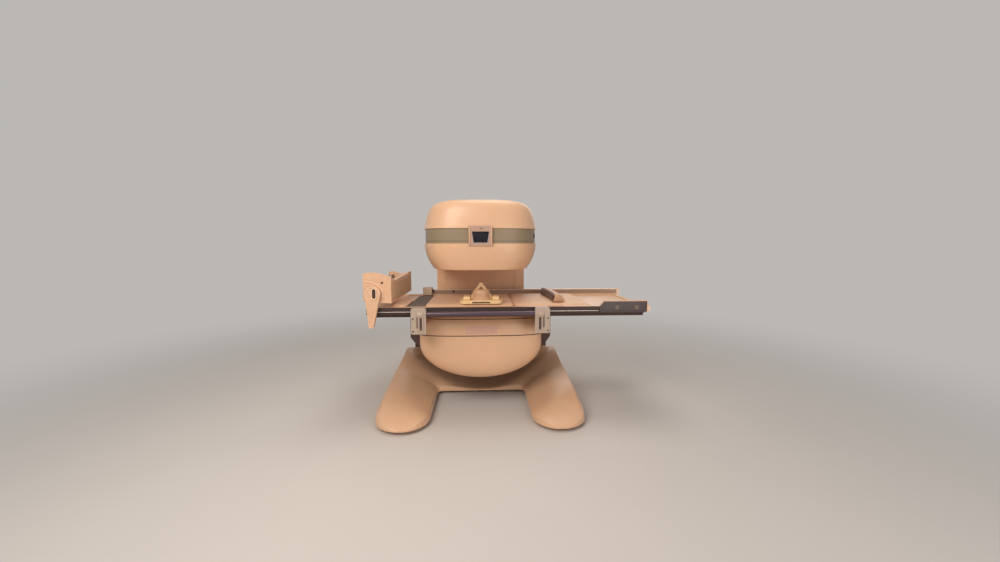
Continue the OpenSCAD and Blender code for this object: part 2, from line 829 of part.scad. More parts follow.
// Places across one foot, from its outer edge to its inner edge, and across the bay's back
function foot_share(k) = (1 - cos(180 * k / foot_x)) / 2;
function foot_place(k, y) = let (i = min(base_inner(y), base_half(y) - 2))
    base_half(y) - (base_half(y) - i) * foot_share(k);
function row_xs(y) = concat(
    [for (k = [0:foot_x]) -foot_place(k, y)],
    [for (k = [1:mid_x - 1]) base_inner(y) * (2 * k / mid_x - 1)],
    [for (k = [foot_x:-1:0]) foot_place(k, y)]);
module base_form() {
    n = 2 * foot_x + mid_x + 1;
    m = len(base_ys);
    top = [for (y = base_ys) for (x = row_xs(y)) [x, y, base_top(x, y)]];
    low = [for (y = base_ys) for (x = row_xs(y)) [x, y, base_low]];
    q = n * m;
    l = foot_x;
    r = foot_x + mid_x;
    cells = [for (j = [0:m - 2]) for (k = [0:n - 2]) if (j >= foot_last || k < l || k >= r) j * n + k];
    outline = concat(
        [for (k = [0:l]) k], [for (j = [1:foot_last]) j * n + l],
        [for (k = [l + 1:r]) foot_last * n + k], [for (j = [foot_last - 1:-1:0]) j * n + r],
        [for (k = [r + 1:n - 1]) k], [for (j = [1:m - 1]) j * n + n - 1],
        [for (k = [n - 2:-1:0]) (m - 1) * n + k], [for (j = [m - 2:-1:1]) j * n]);
    c = len(outline);
    polyhedron(
        points = concat(top, low),
        faces = concat(
            [for (i = cells) [i, i + n, i + n + 1]],
            [for (i = cells) [i, i + n + 1, i + 1]],
            [for (i = [0:c - 1])
                [outline[i], outline[(i + 1) % c], q + outline[(i + 1) % c], q + outline[i]]],
            [for (i = cells) [q + i, q + i + n + 1, q + i + n]],
            [for (i = cells) [q + i, q + i + 1, q + i + n + 1]]));
}
// Outline of the bay, for the plinth below
module bay_2d(more) {
    w = bay_w + more;
    polygon([[-w, bay_front + more - bay_r], [-w, toe_inner_y], [-toe_inner_x, toe_front - 60],
             [toe_inner_x, toe_front - 60], [w, toe_inner_y], [w, bay_front + more - bay_r]]);
    translate([-w + bay_r, bay_front + more - 2 * bay_r]) square([2 * w - 2 * bay_r, 2 * bay_r]);
    for (x = [-w + bay_r, w - bay_r]) translate([x, bay_front + more - bay_r]) circle(bay_r);
}
module pedestal_cover() {
    color("linen") base_form();
}
module plinth() {
    color([0.06, 0.06, 0.06]) translate([0, 0, foot_h]) linear_extrude(plinth_h) difference() {
        polygon([[-base_w + plinth_side, toe_front + 2 * plinth_toe], [-toe_inner_x, toe_front + plinth_toe],
                 [toe_inner_x, toe_front + plinth_toe], [base_w - plinth_side, toe_front + 2 * plinth_toe],
                 [tower_w, base_rear], [tower_w, tower_y1], [-tower_w, tower_y1], [-tower_w, base_rear]]);
        bay_2d(plinth_inset);
    }
}
module levelling_feet() {
    color("black") {
        for (x = [-foot_at_x, foot_at_x]) for (y = foot_at_y)
            translate([x, y, 0]) cylinder(h = foot_h, r = foot_r);
        translate([0, mid_foot_y, 0]) cylinder(h = foot_h, r = foot_r);
    }
}

// Tube and brackets in front of the bowl
module front_tube() {
    color([0.3, 0.29, 0.33]) translate([-bracket_x0 - 30, tube_y, tube_z]) rotate([0, 90, 0])
        cylinder(h = 2 * bracket_x0 + 60, r = tube_r);
}
module bracket() {
    w = bracket_x1 - bracket_x0;
    color("whitesmoke") difference() {
        union() {
            translate([bracket_x0, 0, bracket_low]) along_y(bracket_y - bracket_t / 2, bracket_t)
                rounded_2d(w, bracket_high - bracket_low, 16);
            translate([bracket_x0 + boss_in, tube_y, tube_z]) rotate([0, 90, 0])
                cylinder(h = boss_l, r = tube_r + boss_wall);
            for (x = [bracket_x0 + 22, bracket_x0 + 58])
                translate([x, bracket_y - bracket_t / 2 - rib_out, bracket_low + 22])
                    cube([rib_w, rib_out + eps, 150]);
            translate([bracket_x1 - bracket_arm_w, bracket_y + bracket_t / 2 - eps, bracket_arm[0]])
                cube([bracket_arm_w, drum_front - bracket_y - bracket_t / 2 + eps,
                      bracket_arm[1] - bracket_arm[0]]);
        }
        translate([bracket_x0 - eps, tube_y, tube_z]) rotate([0, 90, 0])
            cylinder(h = boss_l / 2 + eps, r = tube_r + running);
        translate([bracket_x0 + 36, bracket_y - bracket_t / 2 - eps, bracket_low + 34]) cube([16, 7, 120]);
        for (z = [bracket_low + 26, bracket_high - 96])
            translate([bracket_x1 - 18, bracket_y + 4, z]) rotate([90, 0, 0])
                cylinder(h = bracket_t, r = screw_r + running, $fn = 32);
    }
}
module right_bracket() {
    bracket();
}
module left_bracket() {
    mirror([1, 0, 0]) bracket();
}
module bracket_screws() {
    color([0.15, 0.14, 0.13]) for (s = [-1, 1]) for (z = [bracket_low + 26, bracket_high - 96])
        translate([s * (bracket_x1 - 18), bracket_y + 4, z]) rotate([90, 0, 0])
            cylinder(h = screw_in + screw_out, r = screw_r, $fn = 32);
}
module guide_rails() {
    color("silver") for (y = [drum_front + 2, beam_slot_y - guide_w - 6])
        translate([-guide_l / 2, y, drum_top]) cube([guide_l, guide_w, deck_low - clear - drum_top]);
}

// Patient table
table_l = table_x1 - table_x0;
table_w = table_y1 - table_y0;
module table_top() {
    color("oldlace") difference() {
        translate([table_x0, table_y0, deck_low]) rounded(table_l, table_w, deck_t, deck_r);
        translate([table_x0 + deck_rim, table_y0 + deck_rim, deck_top - deck_well])
            rounded(table_l - 2 * deck_rim, table_w - 2 * deck_rim - 20, deck_well + eps, deck_r - 20);
    }
}
module table_frame() {
    color([0.2, 0.18, 0.17]) {
        translate([table_x0 + 20, table_y0 + 5, beam_low]) cube([table_l - 60, near_beam_d, beam_h]);
        translate([table_x0 + 20, table_y1 - far_beam_d, beam_low]) cube([table_l - 60, far_beam_d, beam_h]);
        for (x = concat([cross_left], cross_right))
            translate([x, table_y0 + 5 + near_beam_d - eps, beam_low])
                cube([cross_d, table_w - near_beam_d - far_beam_d - 5 + 2 * eps, beam_h]);
    }
}
module near_side_rail() {
    color([0.25, 0.22, 0.21]) {
        translate([table_x0 + 20, table_y0 - rail_t, deck_low + rail_lip_h])
            cube([panel_x0 - table_x0 - 20 - clear, rail_t, deck_t - rail_lip_h]);
        translate([table_x0 + 20, table_y0 - rail_t - rail_lip, deck_low])
            cube([table_l - 60, rail_t + rail_lip, rail_lip_h]);
    }
}
module far_guide_rail() {
    color("silver") difference() {
        translate([far_rail_x0, table_y1 - far_rail_w, deck_top])
            cube([table_x1 + far_rail_over - far_rail_x0, far_rail_w, far_rail_h]);
        translate([far_rail_x0 - eps, table_y1 - far_rail_w - eps, deck_top + 18])
            cube([table_x1 + far_rail_over - far_rail_x0 + 2 * eps, 10, 16]);
    }
}
module rail_end_blocks() {
    color("gainsboro") {
        translate([table_x1 + far_rail_over, table_y1 - far_rail_w - 4, deck_top - 6])
            cube([far_block_l, far_rail_w + 8, far_rail_h + 10]);
        translate([far_rail_x0 - left_block[0], table_y1 - left_block[1], deck_top])
            rounded(left_block[0], left_block[1], left_block[2], 18);
        translate([panel_x1, table_y0 - end_block[1], deck_low + 12]) cube(end_block);
    }
}
module panel_2d(inset) {
    z0 = deck_low + rail_lip_h;
    polygon([[panel_x0 + inset, z0 + inset], [panel_x1 - inset, z0 + inset],
             [panel_x1 - inset, panel_z1 - 12 - inset / 2], [panel_x1 - 12 - inset / 2, panel_z1 - inset],
             [panel_x0 + panel_slope + inset / 2, panel_z1 - inset],
             [panel_x0 + inset, deck_top + inset / 3]]);
}
module control_panel() {
    y0 = table_y0 - panel_depth;
    color([0.78, 0.74, 0.7]) difference() {
        along_y(y0, panel_depth) panel_2d(0);
        along_y(y0 - eps, panel_sink + eps) panel_2d(panel_rim);
        for (x = button_x) translate([x - button_s / 2 - clear, y0, button_z - button_s / 2 - clear])
            cube([button_s + 2 * clear, panel_sink + 10, button_s + 2 * clear]);
        for (x = button_x) translate([x, y0, button_z]) rotate([-90, 0, 0])
            cylinder(h = panel_depth - 4, r = 5 + running, $fn = 32);
    }
}
module push_button(x) {
    y0 = table_y0 - panel_depth + panel_sink;
    color("gainsboro") {
        translate([x - button_s / 2, y0 - button_out, button_z - button_s / 2])
            cube([button_s, 8, button_s]);
        translate([x, y0, button_z]) rotate([-90, 0, 0])
            cylinder(h = button_stem + 8, r = 5, $fn = 32);
    }
}
module up_button() {
    push_button(button_x[0]);
}
module down_button() {
    push_button(button_x[1]);
}

// Pads and loose cushion
well_z = deck_top - deck_well;
module pad(x, y) {
    translate([x[0], y[0], well_z]) rounded(x[1] - x[0], y[1] - y[0], pad_t, pad_r);
}
module centre_pad() {
    color("wheat") pad(centre_pad_x, pad_y);
}
module head_pad() {
    color("wheat") pad(head_pad_x, pad_y);
}
module left_pad() {
    color("wheat") pad(left_pad_x, left_pad_y);
}
module wedge_cushion() {
    color("tan") translate([wedge_at[0], wedge_at[1], well_z + pad_t + clear]) rotate([0, 0, wedge_turn])
        translate([-wedge_l / 2, 0, 0]) rotate([90, 0, 90]) linear_extrude(wedge_l)
            polygon([[-wedge_w / 2, 0], [wedge_w / 2, 0], [wedge_w / 2 - 16, wedge_h], [-10, wedge_h]]);
}
module coil_base() {
    color("cornsilk") difference() {
        translate([coil_at[0] - coil_size[0] / 2, coil_at[1] - coil_size[1] / 2, well_z + pad_t + clear])
            rounded(coil_size[0], coil_size[1], coil_size[2], 50);
    }
}
module coil_housing() {
    color("cornsilk") translate([coil_at[0], coil_at[1], well_z + pad_t + clear + coil_size[2]])
        rotate_extrude() polygon(concat(
            [[0, 0], [coil_r + 16, 0], [coil_r, 22]],
            [for (a = [0:10:90]) [coil_r - 34 + 34 * cos(a), coil_h - 34 + 34 * sin(a)]],
            [[0, coil_h]]));
}

// Footrest
module footplate() {
    w = far_cheek_y - near_cheek_y - cheek_t;
    color("oldlace") translate([footplate_x - footplate_t, near_cheek_y + cheek_t, 0])
        rotate([90, 0, 90]) linear_extrude(footplate_t)
            polygon([[0, foot_low], [w, foot_low], [w, footplate_top], [w - 90, footplate_top],
                     [w - 190, plate_dip], [150, plate_dip - 12], [0, plate_dip + 12]]);
}
module footplate_mat() {
    w = far_cheek_y - near_cheek_y - cheek_t;
    color([0.35, 0.3, 0.27]) translate([footplate_x, near_cheek_y + cheek_t + mat_edge, foot_low + mat_edge])
        rotate([90, 0, 90]) linear_extrude(mat_t)
            rounded_2d(w - 2 * mat_edge, plate_dip - foot_low - 2 * mat_edge - 14, 20);
}
module cheek(y, line, back) {
    color("antiquewhite") along_y(y, cheek_t) polygon(concat(
        [[cheek_x0, foot_low + 20], [footplate_x, foot_low]], line, [[cheek_x0, back]]));
}
module near_cheek() {
    difference() {
        cheek(near_cheek_y, near_cheek_line, cheek_back[0]);
        foot_tube_hole();
    }
}
module far_cheek() {
    difference() {
        cheek(far_cheek_y, far_cheek_line, cheek_back[1]);
        foot_tube_hole();
    }
}
module foot_tube_hole() {
    translate([foot_tube_at[0], near_cheek_y + cheek_t / 2, foot_tube_at[1]]) rotate([-90, 0, 0])
        cylinder(h = far_cheek_y - near_cheek_y, r = foot_tube_r + running, $fn = 48);
}
module footrest_tube() {
    color("silver")
        translate([foot_tube_at[0], near_cheek_y + cheek_t / 2, foot_tube_at[1]]) rotate([-90, 0, 0]) cylinder(h = far_cheek_y - near_cheek_y, r = foot_tube_r, $fn = 48);
}
module arm(y, foot_z, shoe_y, shoe_d) {
    along_y(y, arm_t) difference() {
        union() {
            translate(arm_at) circle(arm_head_r);
            translate([arm_foot[0], foot_z]) circle(arm_foot_r);
            polygon([[arm_at[0] - arm_head_r, arm_at[1]], [arm_foot[0] - arm_foot_r, foot_z],
                     [arm_foot[0] + arm_foot_r, foot_z], [arm_at[0] + arm_head_r, arm_at[1]]]);
        }
        translate([arm_at[0] + 12 - slot_w / 2, arm_at[1] - slot_h / 2])
            slot_2d(slot_w, slot_h);
    }
    translate([arm_foot[0] - shoe_l / 2, shoe_y, deck_low + rail_lip_h + 3])
        cube([shoe_l, shoe_d, shoe_h]);
}
module footrest_arms() {
    near_face = table_y0 - rail_t - clear;
    color("antiquewhite") {
        arm(near_arm_y, arm_foot[1], near_arm_y + arm_t - eps, near_face - near_arm_y - arm_t + eps);
        arm(far_arm_y, axis_z - far_arm_drop, table_y1 + clear, far_arm_y - table_y1 - clear + eps);
    }
}

pedestal_cover();
plinth();
levelling_feet();
tower_frame();
tower_cover();
rear_access_cover();
front_bearing();
rear_bearing();
tilt_motor();
drive_pinion();
lower_yoke_plate();
upper_yoke_plate();
yoke_column();
lower_magnet();
upper_magnet();
lower_pole_piece();
upper_pole_piece();
lower_gradient_coil();
upper_gradient_coil();
lower_pole_cover();
upper_pole_cover();
upper_cover_top();
upper_cover_bottom();
trim_band();
display_bezel();
display_screen();
stop_button_ring();
stop_button();
column_cover();
column_panel();
bowl_upper_panel();
bowl_lower_cover();
drum_cover();
tilt_hub();
ring_gear();
front_tube();
left_bracket();
right_bracket();
bracket_screws();
guide_rails();
table_top();
table_frame();
near_side_rail();
far_guide_rail();
rail_end_blocks();
control_panel();
up_button();
down_button();
centre_pad();
head_pad();
left_pad();
wedge_cushion();
coil_base();
coil_housing();
footplate();
footplate_mat();
near_cheek();
far_cheek();
footrest_arms();
footrest_tube();
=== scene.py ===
import json
import math

import bmesh
import bpy
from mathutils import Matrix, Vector, noise


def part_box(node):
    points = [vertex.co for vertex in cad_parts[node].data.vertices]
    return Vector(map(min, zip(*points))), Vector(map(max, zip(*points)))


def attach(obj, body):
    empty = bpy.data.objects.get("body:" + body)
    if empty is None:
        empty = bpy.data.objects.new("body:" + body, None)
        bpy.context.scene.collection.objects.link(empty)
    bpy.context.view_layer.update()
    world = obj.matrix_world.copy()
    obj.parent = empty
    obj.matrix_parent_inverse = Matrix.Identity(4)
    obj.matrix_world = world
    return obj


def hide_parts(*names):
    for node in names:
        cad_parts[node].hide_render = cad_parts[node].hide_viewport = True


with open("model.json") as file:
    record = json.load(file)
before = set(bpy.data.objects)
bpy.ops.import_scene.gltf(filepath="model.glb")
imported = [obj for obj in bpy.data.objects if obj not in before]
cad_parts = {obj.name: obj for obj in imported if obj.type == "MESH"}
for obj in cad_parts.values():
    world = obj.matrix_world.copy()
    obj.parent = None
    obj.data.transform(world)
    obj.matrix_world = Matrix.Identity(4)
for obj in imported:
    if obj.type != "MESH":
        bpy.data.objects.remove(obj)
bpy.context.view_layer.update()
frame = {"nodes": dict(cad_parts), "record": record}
scene = bpy.context.scene

# Camera, at the photograph's own place: 1.62 m up and 4.25 m in front of the tilt axis. Turn and drop in degrees.
CAMERA_AT = (0.0, -4.25, 1.62)
CAMERA_TURN = 2.80
CAMERA_DROP = 5.345
LENS = 14.22
SENSOR_W = 36.0
camera_data = bpy.data.cameras.new("camera")
camera_data.sensor_width = SENSOR_W
camera_data.lens = LENS
camera = bpy.data.objects.new("camera", camera_data)
camera.location = CAMERA_AT
camera.rotation_euler = (math.radians(90 - CAMERA_DROP), 0, math.radians(-CAMERA_TURN))
scene.collection.objects.link(camera)
scene.camera = camera
scene.view_settings.view_transform = "Standard"


def area_light(name, at, aim, size, power, colour):
    """Round soft light at one place, aimed at another."""
    data = bpy.data.lights.new(name, "AREA")
    data.shape = "DISK"
    data.size = size
    data.energy = power
    data.color = colour
    lamp = bpy.data.objects.new(name, data)
    lamp.location = at
    lamp.rotation_euler = (Vector(aim) - Vector(at)).to_track_quat("-Z", "Y").to_euler()
    scene.collection.objects.link(lamp)


area_light("key", (-1.9, -3.6, 3.6), (0, -0.3, 0.9), 2.8, 122, (1.0, 0.90, 0.80))
area_light("fill", (2.6, -5.2, 1.5), (0, 0, 0.8), 3.0, 62, (1.0, 0.88, 0.82))
area_light("top", (0.5, 0.2, 5.0), (0, 0, 1.0), 2.4, 60, (1.0, 0.93, 0.86))
area_light("back", (1.5, 5.2, 3.4), (0, 0.6, 1.0), 3.8, 40, (1.0, 0.95, 0.92))


def studio_world(light, strength, backdrop):
    """A dim light on the object, and a pale backdrop for the camera and for gloss."""
    world = bpy.data.worlds.new("studio")
    world.use_nodes = True
    nodes, links = world.node_tree.nodes, world.node_tree.links
    dim, pale = nodes["Background"], nodes.new("ShaderNodeBackground")
    dim.inputs["Color"].default_value = (*light, 1)
    dim.inputs["Strength"].default_value = strength
    pale.inputs["Color"].default_value = (*backdrop, 1)
    path = nodes.new("ShaderNodeLightPath")
    seen = path.outputs["Is Camera Ray"]
    for other in ("Is Glossy Ray", "Is Transmission Ray"):
        either = nodes.new("ShaderNodeMath")
        either.operation = "MAXIMUM"
        links.new(seen, either.inputs[0])
        links.new(path.outputs[other], either.inputs[1])
        seen = either.outputs[0]
    blend = nodes.new("ShaderNodeMixShader")
    links.new(seen, blend.inputs["Fac"])
    links.new(dim.outputs[0], blend.inputs[1])
    links.new(pale.outputs[0], blend.inputs[2])
    links.new(blend.outputs[0], nodes["World Output"].inputs["Surface"])
    scene.world = world


BACKDROP = (0.50, 0.48, 0.46)
studio_world((0.90, 0.84, 0.80), 0.30, BACKDROP)


def times(colour, factor):
    """Darker or lighter shade of a colour."""
    return tuple(min(1.0, c * factor) for c in colour)


class Look:
    """A material in the making: one shader, and the nodes that vary its colour, gloss and relief."""

    def __init__(self, name):
        self.material = bpy.data.materials.new(name)
        self.material.use_nodes = True
        self.tree = self.material.node_tree
        self.shader = self.tree.nodes["Principled BSDF"]
        self.place = self.tree.nodes.new("ShaderNodeTexCoord").outputs["Object"]

    def node(self, kind, **values):
        """New node. Each value sets the input of its name, or else the node's own setting."""
        made = self.tree.nodes.new(kind)
        for key, value in values.items():
            if key in made.inputs:
                made.inputs[key].default_value = value
            else:
                setattr(made, key, value)
        return made

    def link(self, a, b):
        self.tree.links.new(a, b)

    def axes(self):
        """The place on the piece, as outputs X, Y and Z."""
        made = self.node("ShaderNodeSeparateXYZ")
        self.link(self.place, made.inputs[0])
        return made.outputs

    def noise(self, scale, detail=3.0, stretch=None, rough=0.55):
        place = self.place
        if stretch:
            mapping = self.node("ShaderNodeMapping")
            mapping.inputs["Scale"].default_value = stretch
            self.link(place, mapping.inputs["Vector"])
            place = mapping.outputs["Vector"]
        made = self.node("ShaderNodeTexNoise", Scale=scale, Detail=detail, Roughness=rough)
        self.link(place, made.inputs["Vector"])
        return made.outputs["Fac"]

    def ramp(self, value, *stops):
        """Grey level by a value, from stops of (value, level)."""
        made = self.node("ShaderNodeValToRGB")
        elements = made.color_ramp.elements
        while len(elements) < len(stops):
            elements.new(0.5)
        for element, (at, level) in zip(elements, stops):
            element.position = at
            element.color = (level, level, level, 1)
        self.link(value, made.inputs["Fac"])
        return made.outputs["Color"]

    def mix(self, factor, a, b, mode="MIX"):
        made = self.node("ShaderNodeMix", data_type="RGBA", blend_type=mode)
        for socket, value in ((made.inputs[0], factor), (made.inputs[6], a), (made.inputs[7], b)):
            if isinstance(value, bpy.types.NodeSocket):
                self.link(value, socket)
            elif isinstance(value, tuple):
                socket.default_value = (*value, 1)
            else:
                socket.default_value = value
        return made.outputs[2]

    def multiply(self, a, b):
        made = self.node("ShaderNodeMath", operation="MULTIPLY")
        self.link(a, made.inputs[0])
        self.link(b, made.inputs[1])
        return made.outputs[0]

    def range(self, value, low, high, out_low, out_high):
        made = self.node("ShaderNodeMapRange")
        made.inputs["From Min"].default_value = low
        made.inputs["From Max"].default_value = high
        made.inputs["To Min"].default_value = out_low
        made.inputs["To Max"].default_value = out_high
        self.link(value, made.inputs["Value"])
        return made.outputs["Result"]

    def shades(self, value, colour, dark, light, low=0.3, high=0.7):
        """Shades of one colour, from dark to light while the value goes from low to high."""
        return self.mix(self.range(value, low, high, 0, 1), times(colour, dark), times(colour, light))

    def smudged(self, value, rough, less, more):
        """Roughness that strays from its mean by the value."""
        return self.range(value, 0.3, 0.7, rough - less, rough + more)

    def bump(self, height, strength, distance, below=None):
        made = self.node("ShaderNodeBump", Strength=strength, Distance=distance)
        self.link(height, made.inputs["Height"])
        if below:
            self.link(below, made.inputs["Normal"])
        return made.outputs["Normal"]

    def worn_edges(self, colour, worn, amount):
        """The colour, with sharp edges that are worn in patches."""
        geometry = self.node("ShaderNodeNewGeometry")
        edges = self.ramp(geometry.outputs["Pointiness"], (0.52, 0), (0.60, amount))
        patches = self.ramp(self.noise(26, 5), (0.42, 0), (0.62, 1))
        return self.mix(self.mix(1.0, edges, patches, "MULTIPLY"), colour, worn)

    def finish(self, colour, rough, normal, **fixed):
        self.link(colour, self.shader.inputs["Base Color"])
        if isinstance(rough, float):
            self.shader.inputs["Roughness"].default_value = rough
        else:
            self.link(rough, self.shader.inputs["Roughness"])
        self.link(normal, self.shader.inputs["Normal"])
        for key, value in fixed.items():
            self.shader.inputs[key.replace("_", " ")].default_value = value
        return self.material


def shell(name, colour, rough, grain=0.10, coat=0.12):
    """Painted moulding with scuffs, worn edges, a fine grain and a slow wave."""
    look = Look(name)
    tone = look.shades(look.noise(1.6, 4), colour, 0.95, 1.03)
    scuffs = look.ramp(look.noise(9, 8, (1, 1, 3.4), 0.7), (0.60, 0), (0.72, 0.18))
    tone = look.mix(scuffs, tone, times(colour, 0.80))
    tone = look.worn_edges(tone, times(colour, 1.12), 0.5)
    gloss = look.smudged(look.noise(5.5, 6), rough, 0.06, 0.10)
    fine = look.bump(look.noise(620, 2), grain, 0.0006)
    wave = look.bump(look.noise(2.2, 2), 0.10, 0.004, fine)
    return look.finish(tone, gloss, wave, Coat_Weight=coat, Coat_Roughness=0.22, Specular_IOR_Level=0.45)


def banded(name, colour, rough, line_z, reach=0.008):
    """Moulded strip with a dark line at one height, painted as the shade in a fine groove, and the part above it
    painted a little darker, as shade, so the strip under the line reads as a lit lip.
    """
    look = Look(name)
    across = look.range(look.axes()["Z"], line_z - reach, line_z + reach, 0, 1)
    groove_shade = look.ramp(across, (0.22, 1), (0.34, 0), (0.62, 0), (0.78, 0.45))
    broad = look.shades(look.noise(2.4, 5), colour, 0.90, 1.10)
    speck = look.shades(look.noise(240, 2), colour, 0.9, 1.1, 0.35, 0.65)
    # Painted shade: the groove's dark line, and a slight darkening of the band above it.
    tone = look.mix(look.range(groove_shade, 0.0, 0.5, 0, 1), times(colour, 0.45), look.mix(0.4, broad, speck))
    gloss = look.smudged(look.noise(5.5, 6), rough, 0.05, 0.12)
    fine = look.bump(look.noise(620, 2), 0.15, 0.0006)
    return look.finish(tone, gloss, fine, Coat_Weight=0.15, Coat_Roughness=0.25)


def textured(name, colour, rough, grain=0.45, metallic=0.0):
    """Grained plastic or powder coat, with dust and worn edges."""
    look = Look(name)
    speck = look.noise(420, 3)
    tone = look.shades(speck, colour, 0.88, 1.12, 0.35, 0.65)
    tone = look.mix(look.range(look.noise(2.2, 3), 0.3, 0.7, 0, 0.25), tone, times(colour, 0.8))
    dust = look.ramp(look.noise(3.0, 7, (1, 1, 2.6), 0.6), (0.52, 0), (0.80, 0.10))
    tone = look.mix(dust, tone, times(colour, 2.0))
    tone = look.worn_edges(tone, times(colour, 1.3), 0.4)
    gloss = look.smudged(look.noise(14, 5), rough, 0.08, 0.10)
    return look.finish(tone, gloss, look.bump(speck, grain, 0.0008), Metallic=metallic, Specular_IOR_Level=0.28)


# Stretch of the noise for lines that run along x, and for a turned or cast surface.
ALONG_X = (2, 260, 260)
TURNED = (40, 40, 40)


def brushed(name, colour, rough, stretch, metallic=1.0):
    """Metal with fine lines and stains."""
    look = Look(name)
    lines = look.noise(1.0, 6, stretch, 0.7)
    stains = look.ramp(look.noise(7, 6), (0.56, 0), (0.75, 0.3))
    tone = look.mix(stains, look.shades(lines, colour, 0.86, 1.08), times(colour, 0.6))
    gloss = look.smudged(lines, rough, 0.07, 0.10)
    return look.finish(tone, gloss, look.bump(lines, 0.12, 0.0005), Metallic=metallic)


def vinyl(name, colour, rough=0.52):
    """Upholstery with pores, creases and worn patches."""
    look = Look(name)
    cells = look.node("ShaderNodeTexVoronoi", Scale=330.0, feature="DISTANCE_TO_EDGE")
    look.link(look.place, cells.inputs["Vector"])
    pores = look.range(cells.outputs["Distance"], 0.0, 0.12, 0, 1)
    tone = look.mix(pores, times(colour, 0.72), look.shades(look.noise(3.0, 5), colour, 0.93, 1.05))
    worn = look.ramp(look.noise(2.1, 7), (0.48, 0), (0.70, 0.35))
    tone = look.mix(worn, tone, times(colour, 1.12))
    gloss = look.smudged(look.noise(6, 6), rough, 0.08, 0.12)
    creases = look.bump(look.noise(38, 6, (1, 1.6, 1)), 0.20, 0.0025)
    return look.finish(tone, gloss, look.bump(pores, 0.28, 0.0007, creases), Sheen_Weight=0.10, Sheen_Roughness=0.4,
                       Specular_IOR_Level=0.32)


def ribbed(name, colour):
    """Rubber with level ribs, painted darker in the troughs and lighter on the crests, as shade and light on the
    ribs.
    """
    look = Look(name)
    wave = look.node("ShaderNodeTexWave", Scale=34.0, Distortion=0.25, Detail=1.0, bands_direction="Z")
    look.link(look.place, wave.inputs["Vector"])
    ribs = wave.outputs["Fac"]
    grain = look.bump(look.noise(300, 3), 0.2, 0.0008)
    return look.finish(look.shades(ribs, colour, 0.6, 1.3, 0.2, 0.8), 0.8, look.bump(ribs, 0.7, 0.002, grain))


def glass(name):
    """Dark display glass with smears."""
    look = Look(name)
    smear = look.noise(5, 6, (1, 1, 3), 0.7)
    tone = look.mix(look.range(smear, 0.3, 0.8, 0, 1), (0.006, 0.006, 0.012), (0.028, 0.026, 0.040))
    gloss = look.range(smear, 0.35, 0.75, 0.05, 0.22)
    return look.finish(tone, gloss, look.bump(look.noise(3, 1), 0.02, 0.002), Coat_Weight=0.15, Coat_Roughness=0.08,
                       Specular_IOR_Level=0.2)


def two_tone(name, node, light, dark, rim=0.007, depth=0.0105):
    """Light moulding whose front fascia is dark inside a thin rim along its top and right end."""
    look = Look(name)
    low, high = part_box(node)
    place = look.axes()
    fascia = look.range(place["Y"], low.y + depth, low.y + depth + 0.002, 1, 0)
    for axis, edge in (("Z", high.z), ("X", high.x)):
        fascia = look.multiply(fascia, look.range(place[axis], edge - rim, edge - rim - 0.001, 0, 1))
    speck = look.noise(420, 3)
    deep = look.shades(speck, dark, 0.85, 1.2, 0.35, 0.65)
    pale = look.shades(look.noise(1.8, 4), light, 0.95, 1.03)
    gloss = look.range(look.noise(9, 5), 0.3, 0.7, 0.34, 0.52)
    return look.finish(look.mix(fascia, pale, deep), gloss, look.bump(speck, 0.2, 0.0007), Coat_Weight=0.15)


def lipped_rail(name, node, face, top, lip=0.004):
    """Extruded rail whose front face is painted darker, as shade, and whose top edge is painted lighter, as light
    falling on it.
    """
    look = Look(name)
    top_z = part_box(node)[1].z
    # Painted light on the top edge, and painted shade on the face below it.
    lit_top = look.range(look.axes()["Z"], top_z - lip - 0.001, top_z - lip, 0, 1)
    lines = look.noise(1.0, 6, ALONG_X, 0.7)
    tone = look.mix(lit_top, look.shades(lines, face, 0.82, 1.15), look.shades(lines, top, 0.9, 1.06))
    gloss = look.range(lines, 0.3, 0.7, 0.32, 0.50)
    return look.finish(tone, gloss, look.bump(lines, 0.12, 0.0005), Metallic=0.35)


IVORY = (0.76, 0.48, 0.30)
TABLE_IVORY = (0.74, 0.47, 0.30)
TRIM_LINE_Z = 1.648
# One look for each material slot of the part.
LOOKS = {
    "shell_ivory": shell("shell_ivory", IVORY, 0.34),
    "trim_sage": banded("trim_sage", (0.30, 0.235, 0.145), 0.42, TRIM_LINE_Z),
    "dark_shell": textured("dark_shell", (0.075, 0.045, 0.039), 0.6),
    "plinth_black": textured("plinth_black", (0.03, 0.026, 0.025), 0.75),
    "steel_frame": textured("steel_frame", (0.18, 0.19, 0.20), 0.5, metallic=0.2),
    "yoke_steel": textured("yoke_steel", (0.27, 0.28, 0.29), 0.45, metallic=0.6),
    "bright_steel": brushed("bright_steel", (0.62, 0.60, 0.58), 0.28, TURNED),
    "coil_resin": textured("coil_resin", (0.48, 0.28, 0.13), 0.4, 0.2),
    "screen_dark": glass("screen_dark"),
    "button_dark": textured("button_dark", (0.05, 0.035, 0.035), 0.38, 0.2),
    "button_light": textured("button_light", (0.20, 0.15, 0.125), 0.4, 0.2),
    "table_shell": shell("table_shell", TABLE_IVORY, 0.38),
    "rail_aluminium": brushed("rail_aluminium", (0.66, 0.50, 0.38), 0.38, ALONG_X, 0.6),
    "tube_dark": brushed("tube_dark", (0.10, 0.07, 0.09), 0.26, ALONG_X, 0.45),
    "pad_vinyl": vinyl("pad_vinyl", (0.80, 0.51, 0.32)),
    "cushion_vinyl": vinyl("cushion_vinyl", (0.60, 0.37, 0.22)),
    "mat_rubber": ribbed("mat_rubber", (0.66, 0.46, 0.29)),
}
